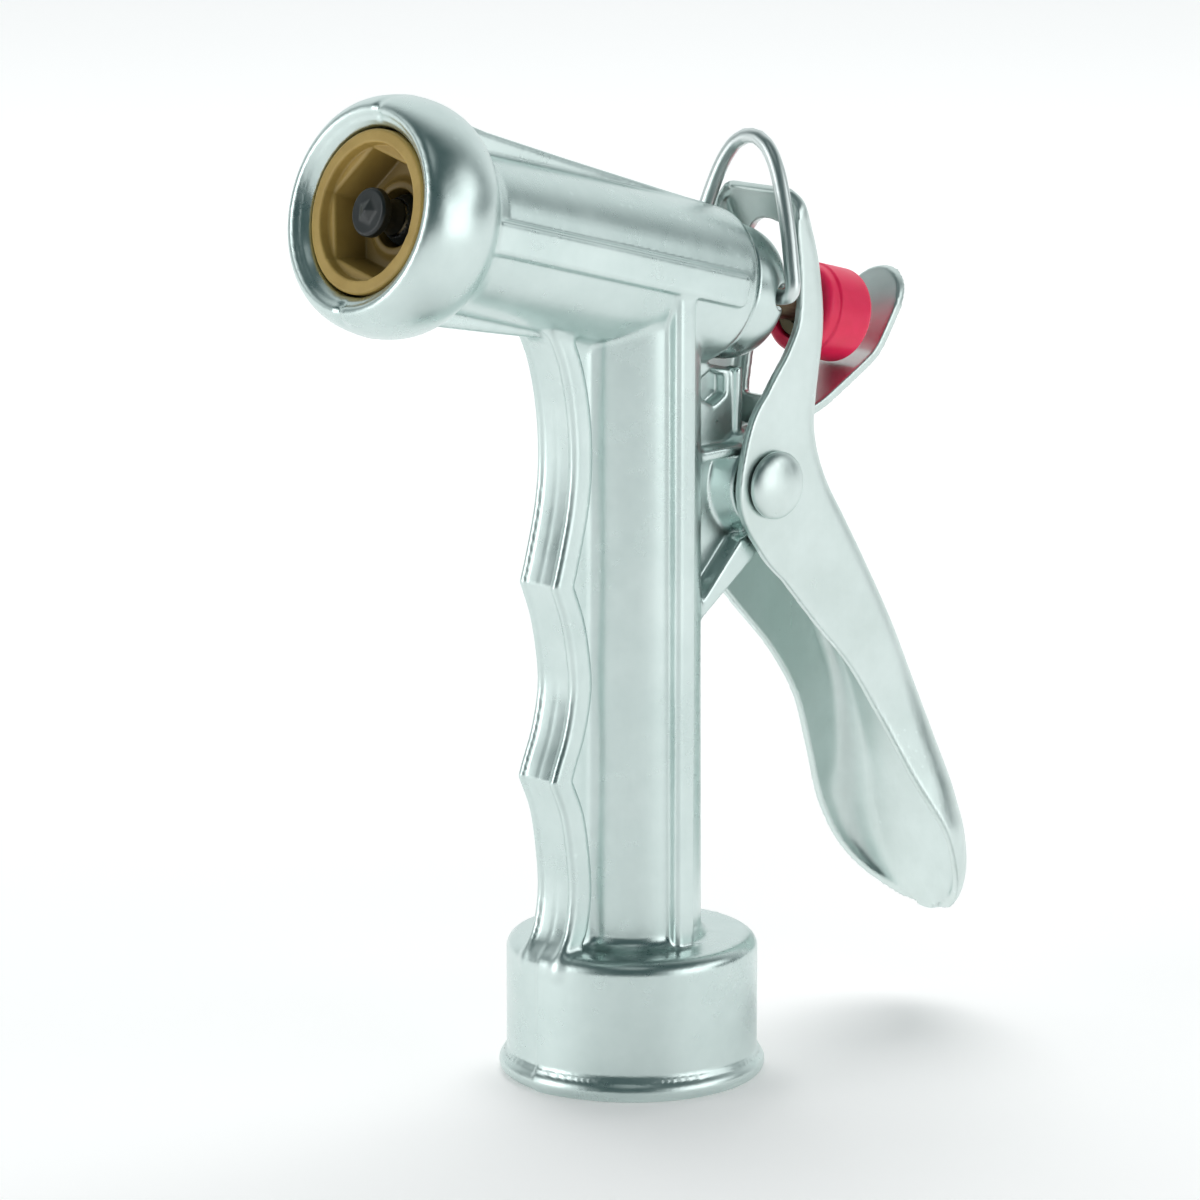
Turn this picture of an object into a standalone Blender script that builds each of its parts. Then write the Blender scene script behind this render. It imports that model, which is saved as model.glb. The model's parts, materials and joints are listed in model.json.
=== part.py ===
"""Pistol-grip hose nozzle with a rear lever, modelled as its separate pieces.

Frame: metres, +Z up, with the origin under the middle of the whole nozzle. -Y is the way
the water leaves, and the lever is on the +Y side. The pieces are placed round the handle's
own axis, x = y = 0 below, and one empty then carries them all to the frame.
"""

import math

import bmesh
import bpy
import numpy as np
from mathutils import Matrix, Vector

MM = 0.001
GAP = 0.3 * MM  # clearance kept between pieces that touch

HANDLE_AXIS_Y = -3.42 * MM  # where the handle's axis stands in the frame

# Handle and hose cup, turned about the handle's axis
CUP_RADIUS = 16.2 * MM
RIM_RADIUS = 17.2 * MM
RIM_BEAD = 1.4 * MM
SHOULDER_Z = 18.2 * MM
SHOULDER_ROUND = 1.8 * MM
HANDLE_FOOT_ROUND = 1.6 * MM
HANDLE_RADIUS_LOW = 8.9 * MM
HANDLE_RADIUS_TOP = 8.6 * MM
HOSE_BORE_RADIUS = 13.1 * MM
HOSE_BORE_DEPTH = 15.6 * MM
WATER_PASSAGE_RADIUS = 5.4 * MM

# Barrel: its axis crosses the handle's axis here and rises towards the mouth
BARREL_Z = 104.4 * MM
BARREL_RISE = math.radians(14.67)
BARREL_REAR = -13.5 * MM
BARREL_RADIUS = 10.3 * MM
BARREL_REAR_ROUND = 2.2 * MM
CHAMBER_RADIUS = 7.0 * MM
INSERT_STEP = 34.2 * MM
INSERT_BORE_RADIUS = 10.5 * MM
GLAND_BORE_RADIUS = 8.0 * MM
GLAND_STEP = -6.0 * MM

# Finger ridge down the front of the handle
RIDGE_HALF_WIDTH = 3.65 * MM
RIDGE_WEB_HALF_WIDTH = 2.7 * MM
RIDGE_RIM_DEPTH = 3.0 * MM

# Rear lug and the lever's pivot
LUG_HALF_THICKNESS = 3.6 * MM
LUG_RIB_HALF_WIDTH = 6.3 * MM
LUG_DIMPLE = Vector((0, 10.7, 88.7)) * MM
LUG_DIMPLE_RADIUS = 2.4 * MM
LUG_EYE_RADIUS = 7.2 * MM
PIVOT = Vector((0, 16.9, 75.9)) * MM
RIVET_RADIUS = 2.4 * MM
RIVET_HEAD_RADIUS = 4.4 * MM
PIVOT_BORE_RADIUS = 2.7 * MM

# Lever, bent from sheet
SHEET = 1.25 * MM
LEVER_HALF_WIDTH = 8.25 * MM
TAB_HALF_WIDTH = 5.1 * MM
WINDOW_HALF_WIDTH = 5.3 * MM

# Stem and what rides on it; distances are along the barrel's axis
STEM_RADIUS = 2.0 * MM
STEM_CLEARANCE = 2.3 * MM
STEM_FRONT = 40.0 * MM
STEM_REAR = -35.4 * MM
KNOB_FRONT = -29.7 * MM
KNOB_REAR = -37.8 * MM
KNOB_RADIUS = 6.2 * MM
SPRING_FRONT = 28.4 * MM
SPRING_REAR = -6.0 * MM
SPRING_RADIUS = 4.7 * MM
SPRING_WIRE = 0.5 * MM
SPRING_TURNS = 11

# Packing nut and the wire clip
NUT_FLANGE_FRONT = BARREL_REAR - GAP
NUT_REAR = -20.3 * MM
CLIP_PIVOT = Vector((0, 18.4, 100.0)) * MM
CLIP_LEAN = math.radians(6.3)
CLIP_WIRE_RADIUS = 1.0 * MM
CLIP_HOLE_RADIUS = 1.6 * MM

ROUND_STEPS = 40
SMALL_STEPS = 28


# ---------------------------------------------------------------- helpers

def clear_scene():
    for obj in list(bpy.data.objects):
        bpy.data.objects.remove(obj, do_unlink=True)


def new_collection(name):
    collection = bpy.data.collections.new(name)
    bpy.context.scene.collection.children.link(collection)
    return collection


def new_empty(name, matrix, collection):
    empty = bpy.data.objects.new(name, None)
    empty.empty_display_size = 5 * MM
    empty.matrix_world = matrix
    collection.objects.link(empty)
    return empty


def material(name, color, roughness, metallic):
    made = bpy.data.materials.new(name)
    made.use_nodes = True
    shader = made.node_tree.nodes["Principled BSDF"]
    shader.inputs["Base Color"].default_value = (*color, 1.0)
    shader.inputs["Roughness"].default_value = roughness
    shader.inputs["Metallic"].default_value = metallic
    return made


def place(obj, collection, parent=None, finish=None):
    collection.objects.link(obj)
    if parent is not None:
        obj.parent = parent
    if finish is not None:
        obj.data.materials.append(finish)
    return obj


def turned(name, profile, collection, parent=None, finish=None, steps=ROUND_STEPS, closed=True):
    """Profile of (radius, height) points, run down its outer side, turned about local Z."""
    mesh = bpy.data.meshes.new(name)
    count = len(profile)
    edges = [(i, i + 1) for i in range(count - 1)]
    if closed:
        edges.append((count - 1, 0))
    mesh.from_pydata([(r, 0, z) for r, z in profile], edges, [])
    obj = place(bpy.data.objects.new(name, mesh), collection, parent, finish)
    screw = obj.modifiers.new("turn", "SCREW")
    screw.axis = "Z"
    screw.angle = math.tau
    screw.steps = screw.render_steps = steps
    screw.use_merge_vertices = True
    screw.merge_threshold = 0.00001
    screw.use_smooth_shade = True
    return obj


def ring_profile(inner, outer, low, high, edge=0.0):
    """Section of a flat ring, with its outer edges eased by a small chamfer."""
    if edge == 0.0:
        return [(outer, high), (outer, low), (inner, low), (inner, high)]
    return [(outer - edge, high), (outer, high - edge), (outer, low + edge), (outer - edge, low),
            (inner, low), (inner, high)]


def rod_profile(radius, low, high):
    """Section of a solid rod whose ends lie on the axis."""
    return [(0, high), (radius, high), (radius, low), (0, low)]


def through(points, per_span):
    """Points of a smooth curve through the given ones (Catmull-Rom), ends included."""
    given = np.array(points, float)
    padded = np.vstack([2 * given[0] - given[1], given, 2 * given[-1] - given[-2]])
    out = []
    for i in range(1, len(padded) - 2):
        before, start, end, after = padded[i - 1:i + 3]
        for t in np.arange(per_span) / per_span:
            out.append(0.5 * (2 * start + (end - before) * t
                              + (2 * before - 5 * start + 4 * end - after) * t ** 2
                              + (3 * start - before - 3 * end + after) * t ** 3))
    out.append(given[-1])
    return [tuple(p) for p in out]


def arc(center, radius, first, last, count):
    """Points of a circular arc, angles in degrees."""
    angles = np.radians(np.linspace(first, last, count))
    return [(center[0] + radius * math.cos(a), center[1] + radius * math.sin(a)) for a in angles]


SIDE_PLANE = Matrix.Rotation(math.radians(90), 4, "Z") @ Matrix.Rotation(math.radians(90), 4, "X")


def mesh_from_curve(curve_obj, collection, finish=None):
    """Turns a placed curve object into a welded mesh object with the same name and place."""
    bpy.context.view_layer.update()
    graph = bpy.context.evaluated_depsgraph_get()
    mesh = bpy.data.meshes.new_from_object(curve_obj.evaluated_get(graph))
    name, matrix, parent = curve_obj.name, curve_obj.matrix_world.copy(), curve_obj.parent
    bpy.data.objects.remove(curve_obj, do_unlink=True)
    weld(mesh)
    obj = bpy.data.objects.new(name, mesh)
    collection.objects.link(obj)
    if parent is not None:
        obj.parent = parent
        bpy.context.view_layer.update()
    obj.matrix_world = matrix
    if finish is not None:
        mesh.materials.clear()
        mesh.materials.append(finish)
    return obj


def weld(mesh):
    work = bmesh.new()
    work.from_mesh(mesh)
    bmesh.ops.remove_doubles(work, verts=work.verts, dist=0.00001)
    bmesh.ops.recalc_face_normals(work, faces=work.faces)
    work.to_mesh(mesh)
    work.free()


def plate(name, outline, half_thickness, collection, matrix=SIDE_PLANE, bevel=0.0, finish=None):
    """A flat outline extruded both ways. In SIDE_PLANE the outline is (y, z) and the thickness is X."""
    curve = bpy.data.curves.new(name, "CURVE")
    curve.dimensions = "2D"
    curve.fill_mode = "BOTH"
    curve.extrude = half_thickness
    spline = curve.splines.new("POLY")
    spline.points.add(len(outline) - 1)
    for point, (a, b) in zip(spline.points, outline):
        point.co = (a, b, 0, 1)
    spline.use_cyclic_u = True
    obj = bpy.data.objects.new(name, curve)
    collection.objects.link(obj)
    obj.matrix_world = matrix
    obj = mesh_from_curve(obj, collection, finish)
    if bevel:
        add_bevel(obj, bevel)
    return obj


def box(name, low, high, collection, matrix=None, bevel=0.0):
    """A box between two corners, in the world or in the given frame."""
    bpy.ops.mesh.primitive_cube_add(size=1)
    obj = bpy.context.active_object
    obj.name = name
    for other in list(obj.users_collection):
        other.objects.unlink(obj)
    collection.objects.link(obj)
    low, high = Vector(low), Vector(high)
    size = high - low
    obj.data.transform(Matrix.Translation((low + high) / 2) @ Matrix.Diagonal((*size, 1)))
    if matrix is not None:
        obj.matrix_world = matrix
    if bevel:
        add_bevel(obj, bevel)
    return obj


def cylinder(name, radius, start, end, collection, steps=SMALL_STEPS):
    """A cylinder between two world points."""
    start, end = Vector(start), Vector(end)
    bpy.ops.mesh.primitive_cylinder_add(vertices=steps, radius=radius, depth=(end - start).length)
    obj = bpy.context.active_object
    obj.name = name
    for other in list(obj.users_collection):
        other.objects.unlink(obj)
    collection.objects.link(obj)
    turn = (end - start).to_track_quat("Z", "Y").to_matrix().to_4x4()
    obj.matrix_world = Matrix.Translation((start + end) / 2) @ turn
    return obj


def wire(name, points, radius, collection, resolution=2):
    """A round wire on a polyline, with flat closed ends."""
    curve = bpy.data.curves.new(name, "CURVE")
    curve.dimensions = "3D"
    curve.bevel_depth = radius
    curve.bevel_resolution = resolution
    curve.use_fill_caps = True
    spline = curve.splines.new("POLY")
    spline.points.add(len(points) - 1)
    for point, co in zip(spline.points, points):
        point.co = (*co, 1)
    obj = bpy.data.objects.new(name, curve)
    collection.objects.link(obj)
    return obj


def add_bevel(obj, width, segments=2, angle=35):
    bevel = obj.modifiers.new("edge", "BEVEL")
    bevel.width = width
    bevel.segments = segments
    bevel.limit_method = "ANGLE"
    bevel.angle_limit = math.radians(angle)
    return bevel


def combine(obj, other, operation):
    modifier = obj.modifiers.new(other.name, "BOOLEAN")
    modifier.operation = operation
    modifier.solver = "EXACT"
    modifier.object = other
    other.hide_render = True
    other.display_type = "WIRE"
    return obj


def join(obj, *others):
    for other in others:
        combine(obj, other, "UNION")


def cut(obj, *others):
    for other in others:
        combine(obj, other, "DIFFERENCE")


def shade_round(obj, angle=40):
    obj.data.shade_smooth()
    obj.data.set_sharp_from_angle(angle=math.radians(angle))


# ---------------------------------------------------------------- frames

def barrel_matrix():
    """Local Z runs along the barrel to its mouth, local Y stands up from it, local X is world X."""
    turn = Matrix.Rotation(math.radians(90) - BARREL_RISE, 4, "X")
    return Matrix.Translation((0, 0, BARREL_Z)) @ turn


# ---------------------------------------------------------------- body

def handle_profile():
    bead = arc((RIM_RADIUS - RIM_BEAD, RIM_BEAD), RIM_BEAD, 75, -90, 8)
    shoulder = arc((CUP_RADIUS - SHOULDER_ROUND, SHOULDER_Z - SHOULDER_ROUND), SHOULDER_ROUND, 90, 0, 5)
    foot = arc((HANDLE_RADIUS_LOW + HANDLE_FOOT_ROUND, SHOULDER_Z + HANDLE_FOOT_ROUND),
               HANDLE_FOOT_ROUND, 180, 270, 4)
    return ([(0, BARREL_Z - 3 * MM), (HANDLE_RADIUS_TOP, BARREL_Z - 3 * MM)]
            + foot + shoulder + [(CUP_RADIUS, 3.2 * MM)] + bead + [(0, 0)])


def barrel_profile():
    """Outer side of the barrel from the mouth's lip back to the rear edge, as (radius, distance)."""
    lip = [(11.9, 46.05), (12.7, 46.25), (13.5, 45.7), (14.2, 44.5), (14.7, 42.8), (14.95, 40.8),
           (14.8, 38.6), (14.2, 36.6), (13.1, 34.9), (11.8, 33.6), (10.6, 32.5), (10.0, 30.5)]
    shape = [(0, 46.05)] + lip
    rear = arc((BARREL_RADIUS - BARREL_REAR_ROUND, BARREL_REAR + BARREL_REAR_ROUND), BARREL_REAR_ROUND,
               0, -90, 6)
    return ([(r * MM, s * MM) for r, s in shape] + [(BARREL_RADIUS, 0)] + rear + [(0, BARREL_REAR)])


def ridge_front():
    """(y, z) of the ridge's front edge from the barrel down to the cup, with its two finger points."""
    top = through([(-16.6, 98.6), (-14.6, 94.0), (-13.3, 88.0), (-12.9, 81.5), (-13.5, 75.5),
                   (-15.0, 69.3), (-16.0, 65.9)], 3)
    middle = through([(-16.0, 65.9), (-14.2, 61.0), (-13.2, 55.5), (-13.1, 51.5), (-14.1, 46.7),
                      (-15.6, 42.8), (-16.3, 40.8)], 3)
    low = through([(-16.3, 40.8), (-14.4, 36.2), (-13.4, 30.5), (-13.1, 25.5), (-13.8, 21.0),
                   (-15.0, 18.4), (-15.6, 16.0)], 3)
    return [(y * MM, z * MM) for y, z in top + middle[1:] + low[1:]]


def make_ridge(helpers):
    front = ridge_front()
    low_z, high_z = front[-1][1], front[0][1]
    rim_back = [(y + RIDGE_RIM_DEPTH, z) for y, z in reversed(front)]
    rim = plate("ridge_rim", front + rim_back, RIDGE_HALF_WIDTH, helpers, bevel=0.9 * MM)
    inset = [(y + 1.0 * MM, z) for y, z in front]
    web = plate("ridge_web", inset + [(-5 * MM, low_z), (-5 * MM, high_z)],
                RIDGE_WEB_HALF_WIDTH, helpers)
    return rim, web


def make_side_ribs(helpers):
    """Upright rib on each side of the handle, and the wide band along each side of the barrel."""
    barrel = barrel_matrix()
    pieces = []
    for side, label in ((1, "left"), (-1, "right")):
        near, far = sorted((side * 7.0 * MM, side * 10.6 * MM))
        pieces.append(box(f"handle_rib_{label}", (near, -1.7 * MM, 16 * MM), (far, 1.5 * MM, 103 * MM),
                          helpers, bevel=0.6 * MM))
        near, far = sorted((side * 8.0 * MM, side * 11.0 * MM))
        pieces.append(box(f"barrel_band_{label}", (near, -2.2 * MM, -10.6 * MM),
                          (far, 2.2 * MM, 34 * MM), helpers, barrel, bevel=0.7 * MM))
    return pieces


def make_barrel_fins(helpers):
    """Low ribs on the barrel's parting line: above, fading out to the rear, and below."""
    turn = barrel_matrix() @ Matrix.Rotation(math.radians(-90), 4, "Y")
    top = [(34 * MM, 9 * MM), (34 * MM, 13.2 * MM), (29.4 * MM, 12.6 * MM), (15.7 * MM, 11.7 * MM),
           (1.6 * MM, 10.9 * MM), (-9 * MM, 10.3 * MM), (-9 * MM, 9 * MM)]
    low = [(34 * MM, -9 * MM), (34 * MM, -12.2 * MM), (23.2 * MM, -11.5 * MM), (14.6 * MM, -10.9 * MM),
           (5.8 * MM, -10.3 * MM), (5.8 * MM, -9 * MM)]
    return [plate("top_fin", top, 1.5 * MM, helpers, turn, bevel=0.5 * MM),
            plate("bottom_fin", low, 1.5 * MM, helpers, turn, bevel=0.5 * MM)]


def make_lug(helpers):
    """Plate behind the handle that carries the lever's pivot, with its boss and two ribs."""
    y0, z0 = PIVOT.y, PIVOT.z
    around = arc((y0, z0), LUG_EYE_RADIUS, -50, 108, 12)
    outline = ([(5 * MM, 57.5 * MM), (9.3 * MM, 60.6 * MM)] + around
               + [(15 * MM, 83.4 * MM), (15 * MM, 90.6 * MM), (11.5 * MM, 90.9 * MM),
                  (8.5 * MM, 93 * MM), (5 * MM, 97 * MM)])
    web = plate("lug_web", outline, LUG_HALF_THICKNESS, helpers)
    slope = [(5.5 * MM, 60.8 * MM), (6.6 * MM, 59.6 * MM), (19.2 * MM, 69.2 * MM), (18.3 * MM, 70.9 * MM),
             (13.0 * MM, 68.9 * MM)]
    lower = plate("lug_lower_rib", slope, LUG_RIB_HALF_WIDTH, helpers, bevel=0.3 * MM)
    ledge = [(5 * MM, 79.6 * MM), (13.5 * MM, 79.9 * MM), (13.5 * MM, 81.3 * MM), (5 * MM, 81.1 * MM)]
    upper = plate("lug_upper_rib", ledge, LUG_RIB_HALF_WIDTH, helpers, bevel=0.3 * MM)
    bosses = []
    for side, label in ((1, "left"), (-1, "right")):
        cone = turned(f"pivot_boss_{label}",
                      [(0, 6.5 * MM), (5.6 * MM, 6.5 * MM), (7.1 * MM, 3.4 * MM), (7.1 * MM, 0), (0, 0)],
                      helpers, steps=SMALL_STEPS, closed=False)
        cone.matrix_world = (Matrix.Translation(PIVOT)
                             @ Matrix.Rotation(math.radians(90 * side), 4, "Y"))
        bosses.append(cone)
    return [web, lower, upper, *bosses]


def make_body(parts, helpers, finish):
    barrel = barrel_matrix()
    body = turned("body", handle_profile(), parts, finish=finish, closed=False)
    barrel_solid = turned("barrel_solid", barrel_profile(), helpers, closed=False)
    barrel_solid.matrix_world = barrel
    join(body, barrel_solid, *make_ridge(helpers), *make_side_ribs(helpers),
         *make_barrel_fins(helpers), *make_lug(helpers))

    hose_bore = turned("hose_bore", rod_profile(HOSE_BORE_RADIUS, -2 * MM, HOSE_BORE_DEPTH),
                       helpers, closed=False)
    passage = turned("water_passage", rod_profile(WATER_PASSAGE_RADIUS, 5 * MM, BARREL_Z),
                     helpers, steps=SMALL_STEPS, closed=False)
    chamber_profile = [
        (0, 52 * MM), (15 * MM, 52 * MM), (11.9 * MM, 46.2 * MM), (11.2 * MM, 45.5 * MM),
        (INSERT_BORE_RADIUS, 44.6 * MM), (INSERT_BORE_RADIUS, INSERT_STEP),
        (CHAMBER_RADIUS, INSERT_STEP), (CHAMBER_RADIUS, GLAND_STEP),
        (GLAND_BORE_RADIUS, GLAND_STEP), (GLAND_BORE_RADIUS, -20 * MM), (0, -20 * MM)]
    chamber = turned("barrel_bore", chamber_profile, helpers, closed=False)
    chamber.matrix_world = barrel
    pivot_bore = cylinder("pivot_bore", PIVOT_BORE_RADIUS, PIVOT - Vector((0.01, 0, 0)),
                          PIVOT + Vector((0.01, 0, 0)), helpers)
    cut(body, hose_bore, passage, chamber)
    for side, label in ((1, "left"), (-1, "right")):
        face = Vector((side * LUG_HALF_THICKNESS, LUG_DIMPLE.y, LUG_DIMPLE.z))
        deep = face - Vector((side * 1.8 * MM, 0, 0))
        clear = face + Vector((side * 6 * MM, 0, 0))
        cut(body, cylinder(f"lug_dimple_{label}", LUG_DIMPLE_RADIUS, deep, clear, helpers, steps=20))
    cut(body, pivot_bore)
    return body


# ---------------------------------------------------------------- barrel contents

def make_insert(parts, helpers, frame, finish):
    """Front insert: a ring with a six-sided pocket, a stepped floor and the water hole."""
    front, rear = 44.9 * MM, INSERT_STEP + 1.0 * MM
    floor, seat = 39.3 * MM, 37.3 * MM
    outer, rim, hole = 10.2 * MM, 8.5 * MM, 3.6 * MM
    profile = [(hole, floor + 1 * MM), (rim - 0.6 * MM, front - 1.2 * MM), (rim, front - 0.8 * MM),
               (rim, front), (outer - 0.4 * MM, front), (outer, front - 0.4 * MM),
               (outer, rear), (7.2 * MM, rear), (7.0 * MM, seat), (hole, seat)]
    insert = turned("nozzle_insert", profile, parts, frame, finish)
    pocket = hexagon_pocket(helpers, frame, 8.9 * MM, 7.2 * MM, floor, front + 1 * MM)
    cut(insert, pocket)
    return insert


def hexagon_pocket(helpers, frame, mouth_radius, floor_radius, low, high):
    """A six-sided tapering cutter, corners at the given radii."""
    bpy.ops.mesh.primitive_cone_add(vertices=6, radius1=floor_radius, radius2=mouth_radius,
                                    depth=high - low)
    obj = bpy.context.active_object
    obj.name = "hexagon_pocket"
    for other in list(obj.users_collection):
        other.objects.unlink(obj)
    helpers.objects.link(obj)
    obj.data.transform(Matrix.Translation((0, 0, (low + high) / 2)))
    obj.matrix_world = frame.matrix_world
    return obj


def make_valve_tip(parts, frame, finish):
    profile = [(0, 45.3), (1.2, 44.75), (2.7, 44.65), (3.05, 44.3), (3.05, 43.4), (1.9, 42.6),
               (1.9, 41.4), (2.3, 40.4), (3.1, 38.9), (3.3, 38.0), (3.3, 35.8),
               (6.2, 35.8), (6.2, 34.9), (2.35, 34.9), (2.35, 40.35), (0, 40.35)]
    return turned("valve_tip", [(r * MM, s * MM) for r, s in profile], parts, frame, finish,
                  steps=SMALL_STEPS, closed=False)


def make_stem(parts, frame, finish):
    groove = 0.55 * MM
    profile = [(0, STEM_FRONT), (STEM_RADIUS - 0.3 * MM, STEM_FRONT),
               (STEM_RADIUS, STEM_FRONT - 0.3 * MM),
               (STEM_RADIUS, 30.4 * MM), (STEM_RADIUS - groove, 30.4 * MM),
               (STEM_RADIUS - groove, 29.2 * MM), (STEM_RADIUS, 29.2 * MM),
               (STEM_RADIUS, STEM_REAR + 0.4 * MM), (STEM_RADIUS - 0.4 * MM, STEM_REAR), (0, STEM_REAR)]
    return turned("valve_stem", profile, parts, frame, finish, steps=24, closed=False)


def stem_rings():
    """Plain rings round the stem: name, inner and outer radius, rear and front face, finish."""
    return [
        ("seat_washer", 3.6, 6.3, 36.1, 37.0, "rubber"),
        ("washer_backing", 2.3, 5.6, 33.6, 34.6, "brass"),
        ("insert_seal", 7.4, 10.2, 34.5, 34.9, "rubber"),
        ("stem_clip", 1.75, 4.6, 29.4, 30.2, "steel"),
        ("spring_front_washer", 2.3, 5.6, 28.4 + 0.3, 29.1, "steel"),
        ("spring_rear_washer", 2.3, 6.2, -7.1, -6.3, "steel"),
        ("gland_seal", 6.6, 7.7, -7.1, -6.3, "rubber"),
        ("stem_packing", 2.35, 4.9, -12.0, -9.0, "rubber"),
        ("packing_follower", 2.3, 4.9, -8.7, -7.9, "brass"),
    ]


def make_stem_rings(parts, frame, finishes):
    for name, inner, outer, low, high, finish in stem_rings():
        turned(name, ring_profile(inner * MM, outer * MM, low * MM, high * MM),
               parts, frame, finishes[finish], steps=SMALL_STEPS)


def spring_points():
    """Centre line of the return spring, closed up at both ends."""
    steps_per_turn = 10
    total = SPRING_TURNS * steps_per_turn
    low, high = SPRING_REAR + SPRING_WIRE + 0.1 * MM, SPRING_FRONT - SPRING_WIRE
    points = []
    for i in range(total + 1):
        turn = i / steps_per_turn
        share = i / total
        # the first and last turns lie almost flat, the rest is evenly pitched
        eased = (share - math.sin(math.tau * share) / (math.tau * 1.35))
        angle = math.tau * turn
        points.append((SPRING_RADIUS * math.cos(angle), SPRING_RADIUS * math.sin(angle),
                       low + (high - low) * eased))
    return points


def make_spring(parts, frame, finish):
    spring = wire("return_spring", spring_points(), SPRING_WIRE, parts, resolution=1)
    spring.parent = frame
    spring.data.materials.append(finish)
    return spring


def make_packing_nut(parts, helpers, frame, finish):
    dome = through([(8.8, -14.4), (8.8, -16.8), (8.4, -18.7), (7.7, -19.8), (6.7, -20.3)], 2)
    profile = ([(STEM_CLEARANCE, -12.4 * MM), (5.2 * MM, -12.4 * MM), (5.2 * MM, -7.4 * MM),
                (7.3 * MM, -7.4 * MM), (7.7 * MM, -7.8 * MM), (7.7 * MM, NUT_FLANGE_FRONT),
                (8.7 * MM, NUT_FLANGE_FRONT)]
               + [(r * MM, s * MM) for r, s in dome] + [(STEM_CLEARANCE, NUT_REAR)])
    nut = turned("packing_nut", profile, parts, frame, finish)
    for side, label in ((1, "left"), (-1, "right")):
        inner = CLIP_PIVOT + Vector((side * 4.6 * MM, 0, 0))
        outer = CLIP_PIVOT + Vector((side * 12 * MM, 0, 0))
        cut(nut, cylinder(f"clip_hole_{label}", CLIP_HOLE_RADIUS, inner, outer, helpers, steps=20))
    return nut


# ---------------------------------------------------------------- wire clip

def clip_points():
    """Centre line in the clip's own frame: X across, Z up the loop, pivot ends on the X axis."""
    right = [(5.6, 0), (7.6, 0), (9.0, 0.35), (9.5, 1.4), (9.2, 3.2), (8.0, 8.3), (6.5, 13.0),
             (4.9, 16.4), (3.1, 18.7), (1.2, 19.8)]
    half = through(right, 3)
    left = [(-x, z) for x, z in reversed(half)]
    return [(x * MM, 0, z * MM) for x, z in half + [(0, 19.95)] + left]


def make_clip(parts, frame, finish):
    clip = wire("hold_open_clip", clip_points(), CLIP_WIRE_RADIUS, parts)
    clip.parent = frame
    clip.data.materials.append(finish)
    return clip


# ---------------------------------------------------------------- lever

def lever_stations():
    """Stations down the lever: back face (y, z), depth to the free edges, half width, corner round."""
    return [
        # y     z      depth  half   corner
        (22.2, 113.6, 1.3, 6.0, 0.9),
        (23.3, 111.9, 2.4, 7.9, 1.6),
        (24.6, 108.7, 3.7, 8.25, 2.2),
        (25.9, 104.2, 4.4, 8.25, 2.2),
        (26.7, 99.0, 5.1, 8.25, 2.2),
        (26.8, 95.1, 5.8, 8.25, 2.2),
        (26.3, 91.0, 7.3, 8.25, 2.2),
        (25.6, 86.6, 9.8, 8.25, 2.2),
        (25.3, 82.6, 12.9, 8.25, 2.2),
        (26.1, 78.8, 15.6, 8.25, 2.2),
        (28.0, 74.7, 15.0, 8.25, 2.4),
        (30.8, 70.4, 13.8, 8.25, 2.6),
        (34.9, 63.9, 12.5, 8.25, 2.8),
        (40.1, 55.2, 10.3, 8.25, 3.2),
        (44.5, 46.5, 9.0, 8.5, 3.8),
        (48.0, 37.8, 8.2, 10.2, 5.0),
        (50.1, 32.0, 7.4, 11.7, 6.0),
        (51.4, 26.8, 6.2, 12.6, 6.6),
        (52.6, 21.4, 5.0, 11.7, 6.2),
        (53.6, 17.0, 3.8, 9.2, 5.4),
        (54.4, 13.6, 2.3, 5.4, 3.8),
        (54.8, 12.2, 1.5, 2.2, 1.6),
    ]


def lever_section(depth, half, corner, columns):
    """Half of a channel's section from the middle of its back to its free edge: (across, depth)."""
    bend = min(corner, half * 0.9)
    drop = min(corner, depth * 0.95)
    flat, round_, wall = columns
    points = [((half - bend) * i / flat, 0.0) for i in range(flat)]
    for i in range(round_ + 1):
        angle = math.pi / 2 * i / round_
        points.append((half - bend + bend * math.sin(angle), drop * (1 - math.cos(angle))))
    points += [(half, drop + (depth - drop) * i / wall) for i in range(1, wall + 1)]
    return points


def make_lever_shell(parts, finish, rows_per_station=2, columns=(1, 4, 1)):
    rows = np.array(through(lever_stations(), rows_per_station)) * MM
    along = np.gradient(rows[:, :2], axis=0)
    along /= np.linalg.norm(along, axis=1)[:, None]
    inward = np.stack([along[:, 1], -along[:, 0]], axis=1)  # towards the handle
    vertices = []
    for (y, z, depth, half, corner), (ny, nz) in zip(rows, inward):
        right = lever_section(depth, half, corner, columns)
        section = [(-x, d) for x, d in reversed(right[1:])] + right
        vertices += [(x, y + d * ny, z + d * nz) for x, d in section]
    width = 2 * sum(columns) + 1
    faces = []
    for i in range(len(rows) - 1):
        for j in range(width - 1):
            a = i * width + j
            faces.append((a, a + 1, a + width + 1, a + width))
    mesh = bpy.data.meshes.new("trigger_lever")
    mesh.from_pydata([Vector(v) - PIVOT for v in vertices], [], faces)
    lever = place(bpy.data.objects.new("trigger_lever", mesh), parts, finish=finish)
    lever.location = PIVOT
    sheet = lever.modifiers.new("sheet", "SOLIDIFY")
    sheet.thickness = SHEET
    sheet.offset = -1
    sheet.use_even_offset = True
    return lever


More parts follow.
